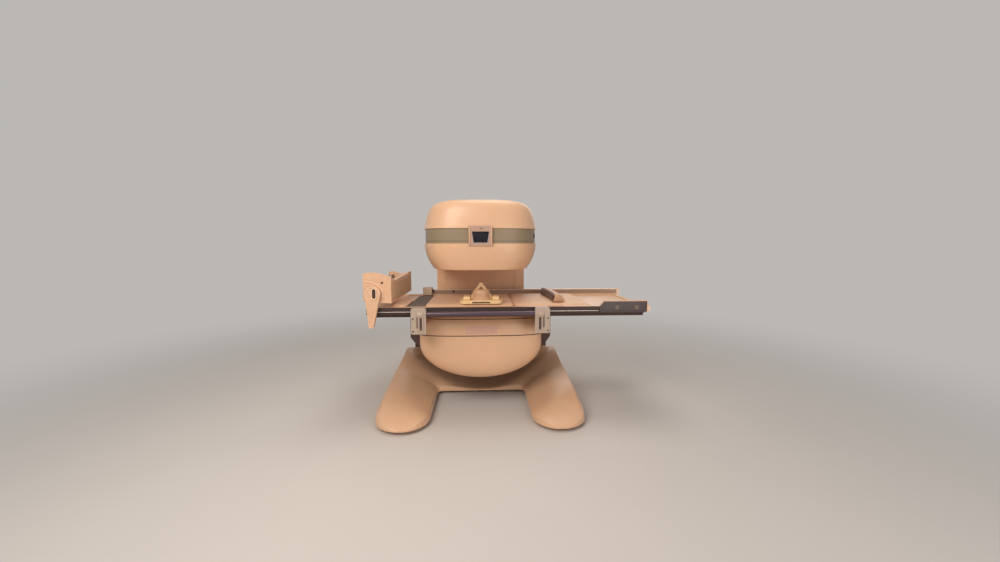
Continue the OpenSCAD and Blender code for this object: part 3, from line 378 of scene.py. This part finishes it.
# The brackets' own warm grey, darkened as painted shade; the stop button's ring and the collars share it.
bracket_grey = shell("bracket_grey", (0.47, 0.375, 0.30), 0.42)
coil_moulding = shell("coil_moulding", (0.84, 0.60, 0.32), 0.40)
frame_bright = brushed("frame_bright", (0.62, 0.55, 0.52), 0.30, TURNED, 0.5)
screw_dark = textured("screw_dark", (0.05, 0.04, 0.04), 0.4, 0.2, 0.5)
# Dark colour that stands for shade: in seams, slots and recesses, and under the bowl's rim.
shade_dark = textured("shade_dark", (0.07, 0.045, 0.04), 0.6)
# Nodes that look different from their slot.
OWN_LOOKS = {
    "left_bracket": bracket_grey,
    "right_bracket": bracket_grey,
    "stop_button_ring": bracket_grey,
    "bracket_screws": screw_dark,
    "near_side_rail": brushed("rail_dark", (0.050, 0.027, 0.024), 0.55, ALONG_X, 0.0),
    # Far rail: the face colour is painted shade and the top colour is painted light.
    "far_guide_rail": lipped_rail("far_rail", "far_guide_rail", (0.36, 0.25, 0.18), (0.80, 0.66, 0.54)),
    "control_panel": two_tone("panel_two_tone", "control_panel", TABLE_IVORY, (0.048, 0.029, 0.030)),
    # The bezel's own greyer tone, darkened further as painted shade.
    "display_bezel": shell("bezel_painted_shade", (0.50, 0.33, 0.255), 0.42),
    "coil_base": coil_moulding,
    "coil_housing": shell("coil_dome", (0.60, 0.35, 0.21), 0.42),
    "tilt_motor": textured("motor_blue_grey", (0.10, 0.13, 0.17), 0.45, 0.3, 0.3),
}

WELD = 0.00003
SMOOTH_BELOW = math.radians(32)


def shading_group():
    """Node group that welds the imported facets and shades them smooth across shallow edges."""
    group = bpy.data.node_groups.new("smooth_by_angle", "GeometryNodeTree")
    group.interface.new_socket("Geometry", in_out="INPUT", socket_type="NodeSocketGeometry")
    group.interface.new_socket("Geometry", in_out="OUTPUT", socket_type="NodeSocketGeometry")
    nodes, links = group.nodes, group.links
    start, end = nodes.new("NodeGroupInput"), nodes.new("NodeGroupOutput")
    merge = nodes.new("GeometryNodeMergeByDistance")
    merge.inputs["Distance"].default_value = WELD
    angle = nodes.new("GeometryNodeInputMeshEdgeAngle")
    less = nodes.new("FunctionNodeCompare")
    less.operation = "LESS_THAN"
    less.inputs[1].default_value = SMOOTH_BELOW
    edges = nodes.new("GeometryNodeSetShadeSmooth")
    edges.domain = "EDGE"
    faces = nodes.new("GeometryNodeSetShadeSmooth")
    faces.domain = "FACE"
    links.new(start.outputs[0], merge.inputs["Geometry"])
    links.new(merge.outputs["Geometry"], edges.inputs["Geometry"])
    links.new(angle.outputs["Unsigned Angle"], less.inputs[0])
    links.new(less.outputs[0], edges.inputs["Shade Smooth"])
    links.new(edges.outputs["Geometry"], faces.inputs["Geometry"])
    links.new(faces.outputs["Geometry"], end.inputs[0])
    return group


smooth_by_angle = shading_group()


def shade(piece):
    piece.modifiers.new("shade", "NODES").node_group = smooth_by_angle


slot_of = {s["node"]: s["material_slot"] for s in frame["record"]["subparts"]}
for node, piece in frame["nodes"].items():
    material = OWN_LOOKS.get(node, LOOKS[slot_of[node]])
    if piece.material_slots:
        for held in piece.material_slots:
            held.material = material
    else:
        piece.data.materials.append(material)
    shade(piece)


def add_piece(name, mesh, material, body, levels=0):
    """New visible piece from a mesh. Levels of subdivision make it round."""
    mesh.materials.append(material)
    piece = bpy.data.objects.new(name, mesh)
    scene.collection.objects.link(piece)
    if levels:
        sub = piece.modifiers.new("round", "SUBSURF")
        sub.levels = sub.render_levels = levels
    shade(piece)
    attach(piece, body)
    return piece


def add_mesh(name, points, faces, material, body, levels=0):
    """New visible piece from points and faces, welded and with its normals outward."""
    mesh = bpy.data.meshes.new(name)
    mesh.from_pydata([tuple(p) for p in points], [], faces)
    made = bmesh.new()
    made.from_mesh(mesh)
    bmesh.ops.remove_doubles(made, verts=made.verts, dist=1e-6)
    bmesh.ops.recalc_face_normals(made, faces=made.faces)
    made.to_mesh(mesh)
    made.free()
    return add_piece(name, mesh, material, body, levels)


def grid_rim(columns, rows):
    """Indices round the rim of a grid of points that is given row by row."""
    wide = columns + 1
    rim = [i for i in range(columns)] + [j * wide + columns for j in range(rows)]
    return rim + [rows * wide + i for i in range(columns, 0, -1)] + [j * wide for j in range(rows, 0, -1)]


def next_to(ring):
    """Each item of a closed ring with the one that follows it."""
    return zip(ring, ring[1:] + ring[:1])


# Pads, in metres: the inset from the plain solid, the corner's radius and the size of a facet.
PAD_INSET, PAD_CORNER, PAD_STEP = 0.004, 0.04, 0.022
# The top falls by SEAM_FALL toward the seam, within SEAM_W of it, and reaches its crown at CROWN_W.
SEAM_FALL, SEAM_W, CROWN_W = 0.010, 0.05, 0.24
# A sewn channel is a narrow dip, which starts DIP_START from the seam, in a low and wide swell.
DIP, DIP_W, DIP_START = 0.007, 0.007, 0.02
SWELL, SWELL_W = 0.002, 0.045
# Scale and height of the soft folds and of the puckers along the seam.
FOLDS, PUCKERS = (5, 0.0018), (34, 0.0010)
# The side from the top down: how far each ring is below the top, how far it stands out, and whether the first
# number is a share of the pad's height, as it is in the wall below the piping, and not a length.
PAD_SIDE = ((0.0005, 0.0015, False), (0.0025, 0.0036, False), (0.0055, 0.0036, False), (0.0075, 0.0008, False),
            (0.0095, 0.0016, False), (0.5, 0.0034, True), (0.85, 0.001, True), (1.0, -0.004, True))


def pad(node, crown, channels, seed):
    """Upholstered pad in the place of its plain solid, with channels sewn across it at the given places along x."""
    low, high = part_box(node)
    x0, x1, y0, y1 = low.x + PAD_INSET, high.x - PAD_INSET, low.y + PAD_INSET, high.y - PAD_INSET
    half_x, half_y = (x1 - x0) / 2, (y1 - y0) / 2
    mid = Vector(((x0 + x1) / 2, (y0 + y1) / 2))
    nx, ny = (max(12, int(length / PAD_STEP)) for length in (x1 - x0, y1 - y0))
    wide = nx + 1

    def plan(u, v, grow=0.0):
        """Place for u and v from -1 to 1, with rounded corners, and its distance from the edge."""
        a, b = u * half_x, v * half_y
        ca, cb = abs(a) - (half_x - PAD_CORNER), abs(b) - (half_y - PAD_CORNER)
        if ca > 0 and cb > 0:
            shrink = max(ca, cb) / math.hypot(ca, cb)
            a = math.copysign(half_x - PAD_CORNER + ca * shrink, a)
            b = math.copysign(half_y - PAD_CORNER + cb * shrink, b)
        edge = min(half_x - abs(a), half_y - abs(b))
        out = Vector((a / half_x, b / half_y))
        return mid.x + a + grow * out.x, mid.y + b + grow * out.y, max(edge, 0.0)

    def height(px, py, edge):
        fall = max(0.0, 1 - edge / SEAM_W)
        value = high.z - crown - SEAM_FALL * fall ** 2.2
        value += crown * math.sin(min(1.0, edge / CROWN_W) * math.pi / 2)
        for at in channels:
            value -= DIP * math.exp(-((px - at) / DIP_W) ** 2) * min(1.0, edge / DIP_START)
            value += SWELL * math.exp(-((px - at) / SWELL_W) ** 2)
        fold = noise.noise(Vector((px * FOLDS[0], py * FOLDS[0], seed))) * FOLDS[1]
        pucker = noise.noise(Vector((px * PUCKERS[0], py * PUCKERS[0], seed + 3))) * PUCKERS[1] * fall
        return min(value + fold + pucker, high.z)

    def places(count):
        """Places from -1 to 1 that lie closer together toward the ends."""
        even = [2 * k / count - 1 for k in range(count + 1)]
        return [0.45 * math.sin(s * math.pi / 2) + 0.55 * s for s in even]

    us, vs = places(nx), places(ny)
    corners = [j * wide + i for j in range(ny) for i in range(nx)]
    points = []
    for v in vs:
        for u in us:
            px, py, edge = plan(u, v)
            points.append((px, py, height(px, py, edge)))
    faces = [(a, a + 1, a + wide + 1, a + wide) for a in corners]
    rim = grid_rim(nx, ny)
    last = rim
    for drop, grow, is_share in PAD_SIDE:
        ring = list(range(len(points), len(points) + len(rim)))
        for at in rim:
            j, i = divmod(at, wide)
            px, py, _ = plan(us[i], vs[j], grow)
            top = height(*plan(us[i], vs[j]))
            points.append((px, py, top - drop * (top - low.z if is_share else 1)))
        faces += [(a, c, d, b) for (a, b), (c, d) in zip(next_to(last), next_to(ring))]
        last = ring
    base = len(points)
    points += [(*plan(u, v, PAD_SIDE[-1][1])[:2], low.z) for v in vs for u in us]
    faces += [(base + a, base + a + wide, base + a + wide + 1, base + a + 1) for a in corners]
    made = add_mesh(node + "_sewn", points, faces, LOOKS["pad_vinyl"], "table", 1)
    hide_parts(node)


pad("centre_pad", 0.006, [-0.114], 1.0)
pad("head_pad", 0.006, [0.66], 2.0)
pad("left_pad", 0.005, [], 3.0)


def puffed_cushion(node, name, material, flank, body, voxel=0.006, inset=0.007, cap=0.012, frames=20,
                   fold=0.0012, flank_below=-0.30):
    """A cushion in the space of its plain solid: shrunk, remeshed, blown up as cloth, then held to the solid's box.
    The side toward -x, where the normal's x is below a limit, gets the flank's material, a dark colour painted as the
    shade on that side."""
    low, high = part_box(node)
    mid = (low + high) / 2
    piece = bpy.data.objects.new(name, frame["nodes"][node].data.copy())
    scene.collection.objects.link(piece)
    for vertex in piece.data.vertices:
        for axis in range(3):
            half = (high[axis] - low[axis]) / 2
            vertex.co[axis] = mid[axis] + (vertex.co[axis] - mid[axis]) * (half - inset) / half
    remesh = piece.modifiers.new("grid", "REMESH")
    remesh.mode = "VOXEL"
    remesh.voxel_size = voxel

    def bake():
        done = bpy.data.meshes.new_from_object(piece.evaluated_get(bpy.context.evaluated_depsgraph_get()))
        piece.modifiers.clear()
        piece.data = done

    bake()
    start = [vertex.co.copy() for vertex in piece.data.vertices]
    cloth = piece.modifiers.new("cloth", "CLOTH")
    cloth.settings.use_pressure = True
    cloth.settings.uniform_pressure_force = 4.0
    cloth.settings.effector_weights.gravity = 0.0
    cloth.settings.quality = 6
    for step in range(1, frames + 1):
        scene.frame_set(step)
    bake()
    scene.frame_set(1)
    for vertex, first in zip(piece.data.vertices, start):
        moved = vertex.co - first
        if moved.length > cap:
            vertex.co = first + moved * cap / moved.length
        vertex.co += vertex.normal * fold * noise.noise(Vector((first.x * 13, first.y * 7, first.z * 11)))
        for axis in range(3):
            vertex.co[axis] = max(low[axis], min(high[axis], vertex.co[axis]))
    piece.data.materials.clear()
    piece.data.materials.append(material)
    piece.data.materials.append(flank)
    soft = piece.modifiers.new("soft", "SMOOTH")
    soft.iterations = 3
    finer = piece.modifiers.new("fine", "SUBSURF")
    finer.levels = finer.render_levels = 1
    bake()
    piece.data.name = name
    for face in piece.data.polygons:
        face.use_smooth = True
        face.material_index = int(face.normal.x < flank_below)
    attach(piece, body)
    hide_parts(node)


# The flank is painted shade: a dark colour on the cushion's side toward -x.
puffed_cushion("wedge_cushion", "wedge_sewn", LOOKS["cushion_vinyl"], vinyl("cushion_painted_shade_side", (0.10, 0.055, 0.04)),
               "table")


def ribbon(name, path, width, thick, across, material, body):
    """Flat strap along a path. Its width lies along the given direction."""
    points, faces = [], []
    spans = [Vector(p) for p in path]
    for i, p in enumerate(spans):
        ahead = spans[min(i + 1, len(spans) - 1)] - spans[max(i - 1, 0)]
        side = Vector(across).normalized()
        side = (side - ahead.normalized() * side.dot(ahead.normalized())).normalized()
        up = ahead.normalized().cross(side)
        for a, b in ((-0.5, -0.5), (0.5, -0.5), (0.5, 0.5), (-0.5, 0.5)):
            points.append(p + side * a * width + up * b * thick)
    for i in range(len(spans) - 1):
        for k in range(4):
            n = (k + 1) % 4
            faces.append((4 * i + k, 4 * i + n, 4 * i + 4 + n, 4 * i + 4 + k))
    end = 4 * (len(spans) - 1)
    faces += [(3, 2, 1, 0), (end, end + 1, end + 2, end + 3)]
    return add_mesh(name, points, faces, material, body)


def grid(across, along, columns, rows):
    """Places of a grid between two pairs of limits, row by row."""
    return [(across[0] + (across[1] - across[0]) * i / columns, along[0] + (along[1] - along[0]) * j / rows)
            for j in range(rows + 1) for i in range(columns + 1)]


def sheet(name, back, front, columns, rows, material, body):
    """Thin sheet between two grids of points, closed round its rim."""
    wide, n = columns + 1, len(back)
    faces = []
    for j in range(rows):
        for i in range(columns):
            a = j * wide + i
            faces += [(n + a, n + a + 1, n + a + wide + 1, n + a + wide), (a, a + wide, a + wide + 1, a + 1)]
    faces += [(a, b, n + b, n + a) for a, b in next_to(grid_rim(columns, rows))]
    return add_mesh(name, back + front, faces, material, body)


# Dark strip on the table between the left pad and the long pad.
STRIP_GAP, STRIP_Y, STRIP_T = 0.002, (-0.606, 0.246), 0.0022
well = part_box("left_pad")[0].z
strip_x = (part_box("left_pad")[1].x + STRIP_GAP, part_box("centre_pad")[0].x - STRIP_GAP)
strip_low, strip_high = ([(x, y, well + h) for x, y in grid(strip_x, STRIP_Y, 8, 24)] for h in (-0.0002, STRIP_T))
sheet("dark_table_strip", strip_low, strip_high, 8, 24, textured("dark_table_strip", (0.16, 0.125, 0.105), 0.6),
      "table")


def as_seen(node):
    """A node with its modifiers, for rays. It is looked up anew before each use."""
    return frame["nodes"][node].evaluated_get(bpy.context.evaluated_depsgraph_get())


def front_y(parts, x, z):
    """Where a ray from the front meets the first of some parts, or None."""
    casts = [part.ray_cast(Vector((x, -2.0, z)), Vector((0, 1, 0))) for part in parts]
    return min((at.y for hit, at, _, _ in casts if hit), default=None)


# Bare label plate on the bowl's upper panel.
LABEL_X, LABEL_Z, LABEL_T = (-0.1455, 0.1588), (0.764, 0.841), 0.0016
upper_panel = [as_seen("bowl_upper_panel")]
label_at = [(x, front_y(upper_panel, x, z), z) for x, z in grid(LABEL_X, LABEL_Z, 12, 6)]
label_back, label_front = ([(x, y - lift, z) for x, y, z in label_at] for lift in (-0.0004, LABEL_T))
sheet("label_plate", label_back, label_front, 12, 6, shell("label_plain", (0.68, 0.41, 0.32), 0.50, 0.05, 0.0),
      "gantry")


def turned(name, profile, at, along, material, body, count=40):
    """Turned piece: a profile of (radius, distance) pairs swept about an axis."""
    axis = Vector(along).normalized()
    side = axis.orthogonal().normalized()
    other = axis.cross(side)
    points, faces = [], []
    for radius, distance in profile:
        for k in range(count):
            turn = math.tau * k / count
            out = side * math.cos(turn) + other * math.sin(turn)
            points.append(Vector(at) + axis * distance + out * radius)
    for j in range(len(profile) - 1):
        for k in range(count):
            n = (k + 1) % count
            faces.append((j * count + k, j * count + n, (j + 1) * count + n, (j + 1) * count + k))
    return add_mesh(name, points, faces, material, body)


def screw_head(name, at, radius, material, body):
    """Low round head with a sunk centre, facing the front."""
    outer = [(0, 0.001), (radius, 0.001), (radius, -0.0015), (radius * 0.86, -0.0030), (radius * 0.5, -0.0032)]
    socket = [(radius * 0.5, -0.0012), (0, -0.0012)]
    return turned(name, outer + socket, at, (0, 1, 0), material, body, 24)


def block(name, low, high, edge, material, body):
    """Block with rounded edges between two corners."""
    made = bmesh.new()
    bmesh.ops.create_cube(made, size=1.0)
    for vertex in made.verts:
        vertex.co = Vector(low[i] + (vertex.co[i] + 0.5) * (high[i] - low[i]) for i in range(3))
    bmesh.ops.bevel(made, geom=made.edges[:], offset=edge, segments=3, profile=0.5, affect="EDGES")
    mesh = bpy.data.meshes.new(name)
    made.to_mesh(mesh)
    made.free()
    return add_piece(name, mesh, material, body)


def front_strip(name, reach_x, rows, lift, material, columns=72):
    """Thin strip round the front of the bowl. Each row has the height at which the surface is found and its own."""
    bowl = [as_seen("bowl_upper_panel"), as_seen("bowl_lower_cover")]

    def surface_y(x, z):
        y = front_y(bowl, x, z)
        while y is None:
            z -= 0.003
            y = front_y(bowl, x, z)
        return y

    xs = [reach_x * math.sin(math.pi / 2 * (2 * i / columns - 1)) for i in range(columns + 1)]
    front = [[Vector((x, surface_y(x, probe), z)) for x in xs] for probe, z in rows]
    outer = [[p - Vector((0, lift, 0)) for p in row] for row in front]
    inner = [[p + Vector((0, 0.001, 0)) for p in row] for row in front]
    points, faces = [p for row in outer + inner[::-1] for p in row], []
    wide, total = columns + 1, 2 * len(rows)
    for j in range(total):
        for i in range(columns):
            a, b = j * wide + i, ((j + 1) % total) * wide + i
            faces.append((a, a + 1, b + 1, b))
    faces.append([j * wide for j in range(total)])
    faces.append([j * wide + columns for j in range(total)][::-1])
    return add_mesh(name, points, faces, material, "gantry")


# Dark strip over the seam of the bowl, painted as the shade in it; a dark line above, painted as the shade under the
# rim; and the rim above that.
SEAM_REACH, RIM_REACH = 0.585, 0.500
SEAM_ROWS = [(0.7405, 0.7440), (0.7555, 0.7525)]
RIM_SHADE_ROWS = [(0.9000, 0.9000), (0.9065, 0.9065)]
RIM_ROWS = [(0.9070, 0.9070), (0.9300, 0.9300), (0.9440, 0.9460)]
front_strip("bowl_seam_seal", SEAM_REACH, SEAM_ROWS, 0.0006, shade_dark)
front_strip("rim_shade_line", RIM_REACH, RIM_SHADE_ROWS, 0.0006, shade_dark)
front_strip("rim_strip", RIM_REACH, RIM_ROWS, 0.0035, LOOKS["shell_ivory"])

# Display: raised ribs down both sides, a sensor above the glass, and a bevel round it in a bright colour, as painted
# highlight.
RIB_W, RIB_OUT, RIB_SUNK, RIB_INSET, RIB_ENDS, RIB_EDGE = 0.010, 0.010, 0.004, 0.003, 0.004, 0.0028
SENSOR_R, SENSOR_RIGHT, SENSOR_UP = 0.0055, 0.008, 0.026
GLASS_TAPER, GLASS_EDGE, GLASS_EDGE_W, GLASS_EDGE_OUT = 0.016, 0.004, 0.006, 0.0035
bezel_low, bezel_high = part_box("display_bezel")
screen_low, screen_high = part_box("display_screen")
for name, x in (("bezel_rib_left", bezel_low.x + RIB_INSET), ("bezel_rib_right", bezel_high.x - RIB_INSET - RIB_W)):
    block(name, (x, bezel_low.y - RIB_OUT, bezel_low.z + RIB_ENDS),
          (x + RIB_W, bezel_low.y + RIB_SUNK, bezel_high.z - RIB_ENDS), RIB_EDGE,
          LOOKS["shell_ivory"], "gantry")
sensor_at = ((bezel_low.x + bezel_high.x) / 2 + SENSOR_RIGHT, bezel_low.y, screen_high.z + SENSOR_UP)
screw_head("display_sensor", sensor_at, SENSOR_R, LOOKS["button_dark"], "gantry")


def sloped_bar(name, a, b, width, out, material):
    """Bar with a bevelled face from a to b on the front of the display."""
    along = (b - a).normalized()
    across = along.cross(Vector((0, 1, 0))).normalized()
    section = [(-0.5, 0.002), (-0.5, -0.2 * out), (-0.2, -out), (0.2, -out), (0.5, -0.2 * out), (0.5, 0.002)]
    points = [end + across * width * u + Vector((0, v, 0)) for end in (a, b) for u, v in section]
    count = len(section)
    faces = [(k, (k + 1) % count, count + (k + 1) % count, count + k) for k in range(count)]
    faces += [tuple(range(count)), tuple(range(2 * count - 1, count - 1, -1))]
    return add_mesh(name, points, faces, material, "gantry")


top_left, top_right, foot_left, foot_right = (Vector((x, bezel_low.y, z)) for x, z in (
    (screen_low.x - GLASS_EDGE, screen_high.z),
    (screen_high.x + GLASS_EDGE, screen_high.z),
    (screen_low.x + GLASS_TAPER - GLASS_EDGE, screen_low.z - GLASS_EDGE),
    (screen_high.x - GLASS_TAPER + GLASS_EDGE, screen_low.z - GLASS_EDGE)))
# Bright bars painted as the highlight along the bevel round the glass.
for name, a, b in (("glass_edge_left", top_left, foot_left), ("glass_edge_right", top_right, foot_right),
                   ("glass_edge_foot", foot_left, foot_right)):
    sloped_bar(name, a, b, GLASS_EDGE_W, GLASS_EDGE_OUT, frame_bright)

# Collars that hold the front tube's ends, in front of the brackets.
SIDES = (("left", -1), ("right", 1))
COLLAR_X, COLLAR_AHEAD = 0.516, 0.010
tube_low, tube_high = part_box("front_tube")
tube_r = (tube_high.z - tube_low.z) / 2
collar_y, collar_z = (tube_low.y + tube_high.y) / 2 - COLLAR_AHEAD, (tube_low.z + tube_high.z) / 2
collar = [(tube_r + 0.001, 0.0), (tube_r + 0.007, 0.0), (tube_r + 0.010, 0.003), (tube_r + 0.010, 0.047),
          (tube_r + 0.007, 0.050), (tube_r - 0.002, 0.050), (tube_r - 0.004, 0.046), (0, 0.046)]
for side_name, side in SIDES:
    turned(side_name + "_collar", collar, (side * COLLAR_X, collar_y, collar_z), (side, 0, 0), bracket_grey,
           "gantry", 48)

# Bright lip along the near rail, the screw and the clamp knob on the far rail, and the cheek's screw.
LIP_OUT, LIP_LOW, LIP_HIGH, LIP_GAP = 0.0045, 0.020, 0.0265, 0.012
FAR_SCREW_X, FAR_SCREW_Z, FAR_SCREW_R = -0.314, 1.076, 0.012
KNOB_AT = (-0.555, 0.279, 1.088)
KNOB_PROFILE = [(0.008, 0.002), (0.008, -0.008), (0.019, -0.009), (0.021, -0.013), (0.021, -0.024),
                (0.018, -0.028), (0, -0.029)]
CHEEK_SCREW_X, CHEEK_SCREW_Z, CHEEK_SCREW_R = -0.880, 1.276, 0.010
rail_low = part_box("near_side_rail")[0]
block("rail_lip", (rail_low.x + 0.002, rail_low.y - LIP_OUT, rail_low.z + LIP_LOW),
      (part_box("control_panel")[0].x - LIP_GAP, rail_low.y + 0.002, rail_low.z + LIP_HIGH), 0.0015,
      frame_bright, "table")
far_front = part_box("far_guide_rail")[0].y
screw_head("far_rail_screw", (FAR_SCREW_X, far_front, FAR_SCREW_Z), FAR_SCREW_R, screw_dark, "table")
turned("clamp_knob", KNOB_PROFILE, KNOB_AT, (0, 1, 0), screw_dark, "table")
cheek_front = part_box("near_cheek")[0].y
screw_head("cheek_screw", (CHEEK_SCREW_X, cheek_front, CHEEK_SCREW_Z), CHEEK_SCREW_R, screw_dark, "footrest")

# Moulded beads on the footrest, painted lighter than the moulding as highlight: round the arm's head, round its slot,
# and over the cheek. The slot has a dark block, painted as the shade inside it.
BEAD_W, BEAD_OUT = 0.009, 0.006
ARM_HEAD, ARM_HEAD_R = (-0.957, 1.180), 0.068
SLOT_X, SLOT_Z, SLOT_H, SLOT_W = -0.945, 1.180, 0.084, 0.0286
SLOT_BEAD_R, SLOT_BEAD_REACH = 0.021, 0.027
CHEEK_CREST = [(-1.034, 1.287), (-1.016, 1.286), (-0.985, 1.283), (-0.955, 1.276), (-0.929, 1.264),
               (-0.905, 1.248), (-0.888, 1.230), (-0.877, 1.208), (-0.872, 1.182), (-0.872, 1.150)]
# Painted highlight: the beads are the moulding's own colour, made lighter.
bead_highlight_look = shell("bead_painted_highlight", (0.86, 0.62, 0.45), 0.36)


def bead(name, path, y, width=BEAD_W, out=BEAD_OUT):
    """Raised bead along a path of x and z, on a front face at y."""
    points = [(x, y - out / 2 + 0.0004, z) for x, z in path]
    return ribbon(name, points, out, width, (0, 1, 0), bead_highlight_look, "footrest")


def arc(centre, radius, start, end, count=24):
    """Points of x and z round a centre, from one angle to another in degrees."""
    turns = [math.radians(start + (end - start) * k / count) for k in range(count + 1)]
    return [(centre[0] + radius * math.cos(turn), centre[1] + radius * math.sin(turn)) for turn in turns]


arm_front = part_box("footrest_arms")[0].y
bead("arm_bead", arc(ARM_HEAD, ARM_HEAD_R - BEAD_OUT, -12, 192, 36), arm_front)
slot_path = arc((SLOT_X, SLOT_Z + SLOT_BEAD_REACH), SLOT_BEAD_R, 0, 180)
slot_path += arc((SLOT_X, SLOT_Z - SLOT_BEAD_REACH), SLOT_BEAD_R, 180, 360)
bead("slot_bead", slot_path + slot_path[:1], arm_front)
bead("cheek_bead", CHEEK_CREST, cheek_front, 0.010, 0.007)
# Dark block painted as the shade inside the arm's slot.
block("arm_slot_shade", (SLOT_X - SLOT_W / 2, arm_front + 0.008, SLOT_Z - SLOT_H / 2 + 0.001),
      (SLOT_X + SLOT_W / 2, arm_front + 0.014, SLOT_Z + SLOT_H / 2 - 0.001), 0.002,
      shade_dark, "footrest")

# Dark inserts in the brackets' slots, and a darker block on the shallow recess beside each, both painted as the shade
# in them: x and z, and y from the bracket's face.
bracket_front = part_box("right_bracket")[0].y + 0.008
recess_shade_look = textured("bracket_recess_shade", (0.22, 0.165, 0.135), 0.5)
for kind, x, y, z, edge, look in (
        ("slot", (0.5245, 0.5395), (0.0035, 0.0072), (0.8535, 0.9705), 0.0008, shade_dark),
        ("recess", (0.5420, 0.5750), (-0.0009, 0.0020), (0.8720, 0.9750), 0.0007, recess_shade_look)):
    for side_name, side in SIDES:
        x0, x1 = sorted((side * x[0], side * x[1]))
        block(side_name + "_" + kind, (x0, bracket_front + y[0], z[0]), (x1, bracket_front + y[1], z[1]), edge,
              look, "gantry")

# Margin, and a dark line painted as the shade in the seam, at each side of the column's panel.
MARGIN_W, SHADE_LINE_W, MARGIN_T, CLEAR = 0.018, 0.005, 0.004, 0.0003
panel_low, panel_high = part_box("column_panel")
for (side_name, side), edge in zip(SIDES, (panel_low.x, panel_high.x)):
    for kind, start, end, look, slot in (("margin", 0.0, MARGIN_W, LOOKS["shell_ivory"], "shell_ivory"),
                                         ("seal", MARGIN_W, MARGIN_W + SHADE_LINE_W, shade_dark, "dark_shell")):
        x0, x1 = sorted((edge + side * (start + CLEAR), edge + side * end))
        block("column_%s_%s" % (kind, side_name), (x0, panel_low.y, panel_low.z),
              (x1, panel_low.y + MARGIN_T, panel_high.z), 0.0006, look, "gantry")

# Two moulded blocks on the coil's base, either side of its housing, and a dark strip in its front, painted as the
# shade in a slot.
BLOCK_X, BLOCK_Y, BLOCK_H = (0.030, 0.095), 0.050, 0.030
BASE_SLOT_X, BASE_SLOT_Z = (0.115, 0.119), (0.006, 0.019)
base_low, base_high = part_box("coil_base")
for side_name, x0, x1 in (("left", base_low.x + BLOCK_X[0], base_low.x + BLOCK_X[1]),
                          ("right", base_high.x - BLOCK_X[1], base_high.x - BLOCK_X[0])):
    block("coil_block_" + side_name, (x0, base_low.y + BLOCK_Y, base_high.z - 0.001),
          (x1, base_high.y - BLOCK_Y, base_high.z + BLOCK_H), 0.007, coil_moulding, "table")
block("coil_base_slot_shade", (base_low.x + BASE_SLOT_X[0], base_low.y - 0.0008, base_low.z + BASE_SLOT_Z[0]),
      (base_high.x - BASE_SLOT_X[1], base_low.y + 0.003, base_low.z + BASE_SLOT_Z[1]), 0.0007,
      shade_dark, "table")

# Straps of the flexible coil: four bands from the base to a buckle over the housing.
STRAP_FEET = ((-0.092, -0.030), (0.092, -0.030), (0.080, 0.045), (-0.080, 0.045))
STRAP_W, STRAP_T, STRAP_BOW, STRAP_STEPS = 0.026, 0.0022, 0.24, 12
PEAK_LEFT, PEAK_Z = 0.004, 1.242
BUCKLE_HALF, BUCKLE_UP = Vector((0.016, 0.010, 0.0065)), Vector((0, 0, 0.0005))
coil_low, coil_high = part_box("coil_housing")
coil_mid = (coil_low + coil_high) / 2
peak = Vector((coil_mid.x - PEAK_LEFT, coil_mid.y, PEAK_Z))
strap_look = vinyl("strap_webbing", (0.60, 0.39, 0.21), 0.60)
for k, (x, y) in enumerate(STRAP_FEET):
    foot = Vector((coil_mid.x + x, coil_mid.y + y, coil_low.z + 0.002))
    path = []
    for i in range(STRAP_STEPS + 1):
        t = i / STRAP_STEPS
        path.append(foot.lerp(peak, t) + Vector((x, y, 0)) * STRAP_BOW * math.sin(math.pi * t) * (1 - t))
    ribbon("coil_strap_%d" % (k + 1), path, STRAP_W, STRAP_T, (1, 0, 0), strap_look, "table")
buckle_at = peak + BUCKLE_UP
block("strap_buckle", buckle_at - BUCKLE_HALF, buckle_at + BUCKLE_HALF, 0.003, LOOKS["table_shell"],
      "table")


def fade_far(look, near, far):
    """Turns a look into the backdrop between two distances, for the camera only, so that no horizon shows."""
    away = look.node("ShaderNodeVectorMath", operation="LENGTH")
    look.link(look.place, away.inputs[0])
    soft = look.node("ShaderNodeMapRange", interpolation_type="SMOOTHERSTEP")
    soft.inputs["From Min"].default_value = near
    soft.inputs["From Max"].default_value = far
    look.link(away.outputs["Value"], soft.inputs["Value"])
    seen = look.node("ShaderNodeLightPath").outputs["Is Camera Ray"]
    glow = look.node("ShaderNodeEmission")
    glow.inputs["Color"].default_value = (*BACKDROP, 1)
    blend = look.node("ShaderNodeMixShader")
    look.link(look.multiply(soft.outputs["Result"], seen), blend.inputs["Fac"])
    look.link(look.shader.outputs[0], blend.inputs[1])
    look.link(glow.outputs[0], blend.inputs[2])
    look.link(blend.outputs[0], look.tree.nodes["Material Output"].inputs["Surface"])


# Floor.
FLOOR_REACH, FADE_NEAR, FADE_FAR = 30.0, 1.0, 7.5
floor_mesh = bpy.data.meshes.new("floor")
floor_mesh.from_pydata([(x * FLOOR_REACH, y * FLOOR_REACH, 0) for x, y in ((-1, -1), (1, -1), (1, 1), (-1, 1))],
                       [], [(0, 1, 2, 3)])
floor = bpy.data.objects.new("floor", floor_mesh)
scene.collection.objects.link(floor)
floor_look = Look("floor_pale")
pale = floor_look.mix(floor_look.noise(1.2, 4), (0.66, 0.63, 0.60), (0.70, 0.67, 0.64))
floor_mesh.materials.append(floor_look.finish(pale, 0.85, floor_look.bump(floor_look.noise(60, 3), 0.03, 0.001)))
fade_far(floor_look, FADE_NEAR, FADE_FAR)
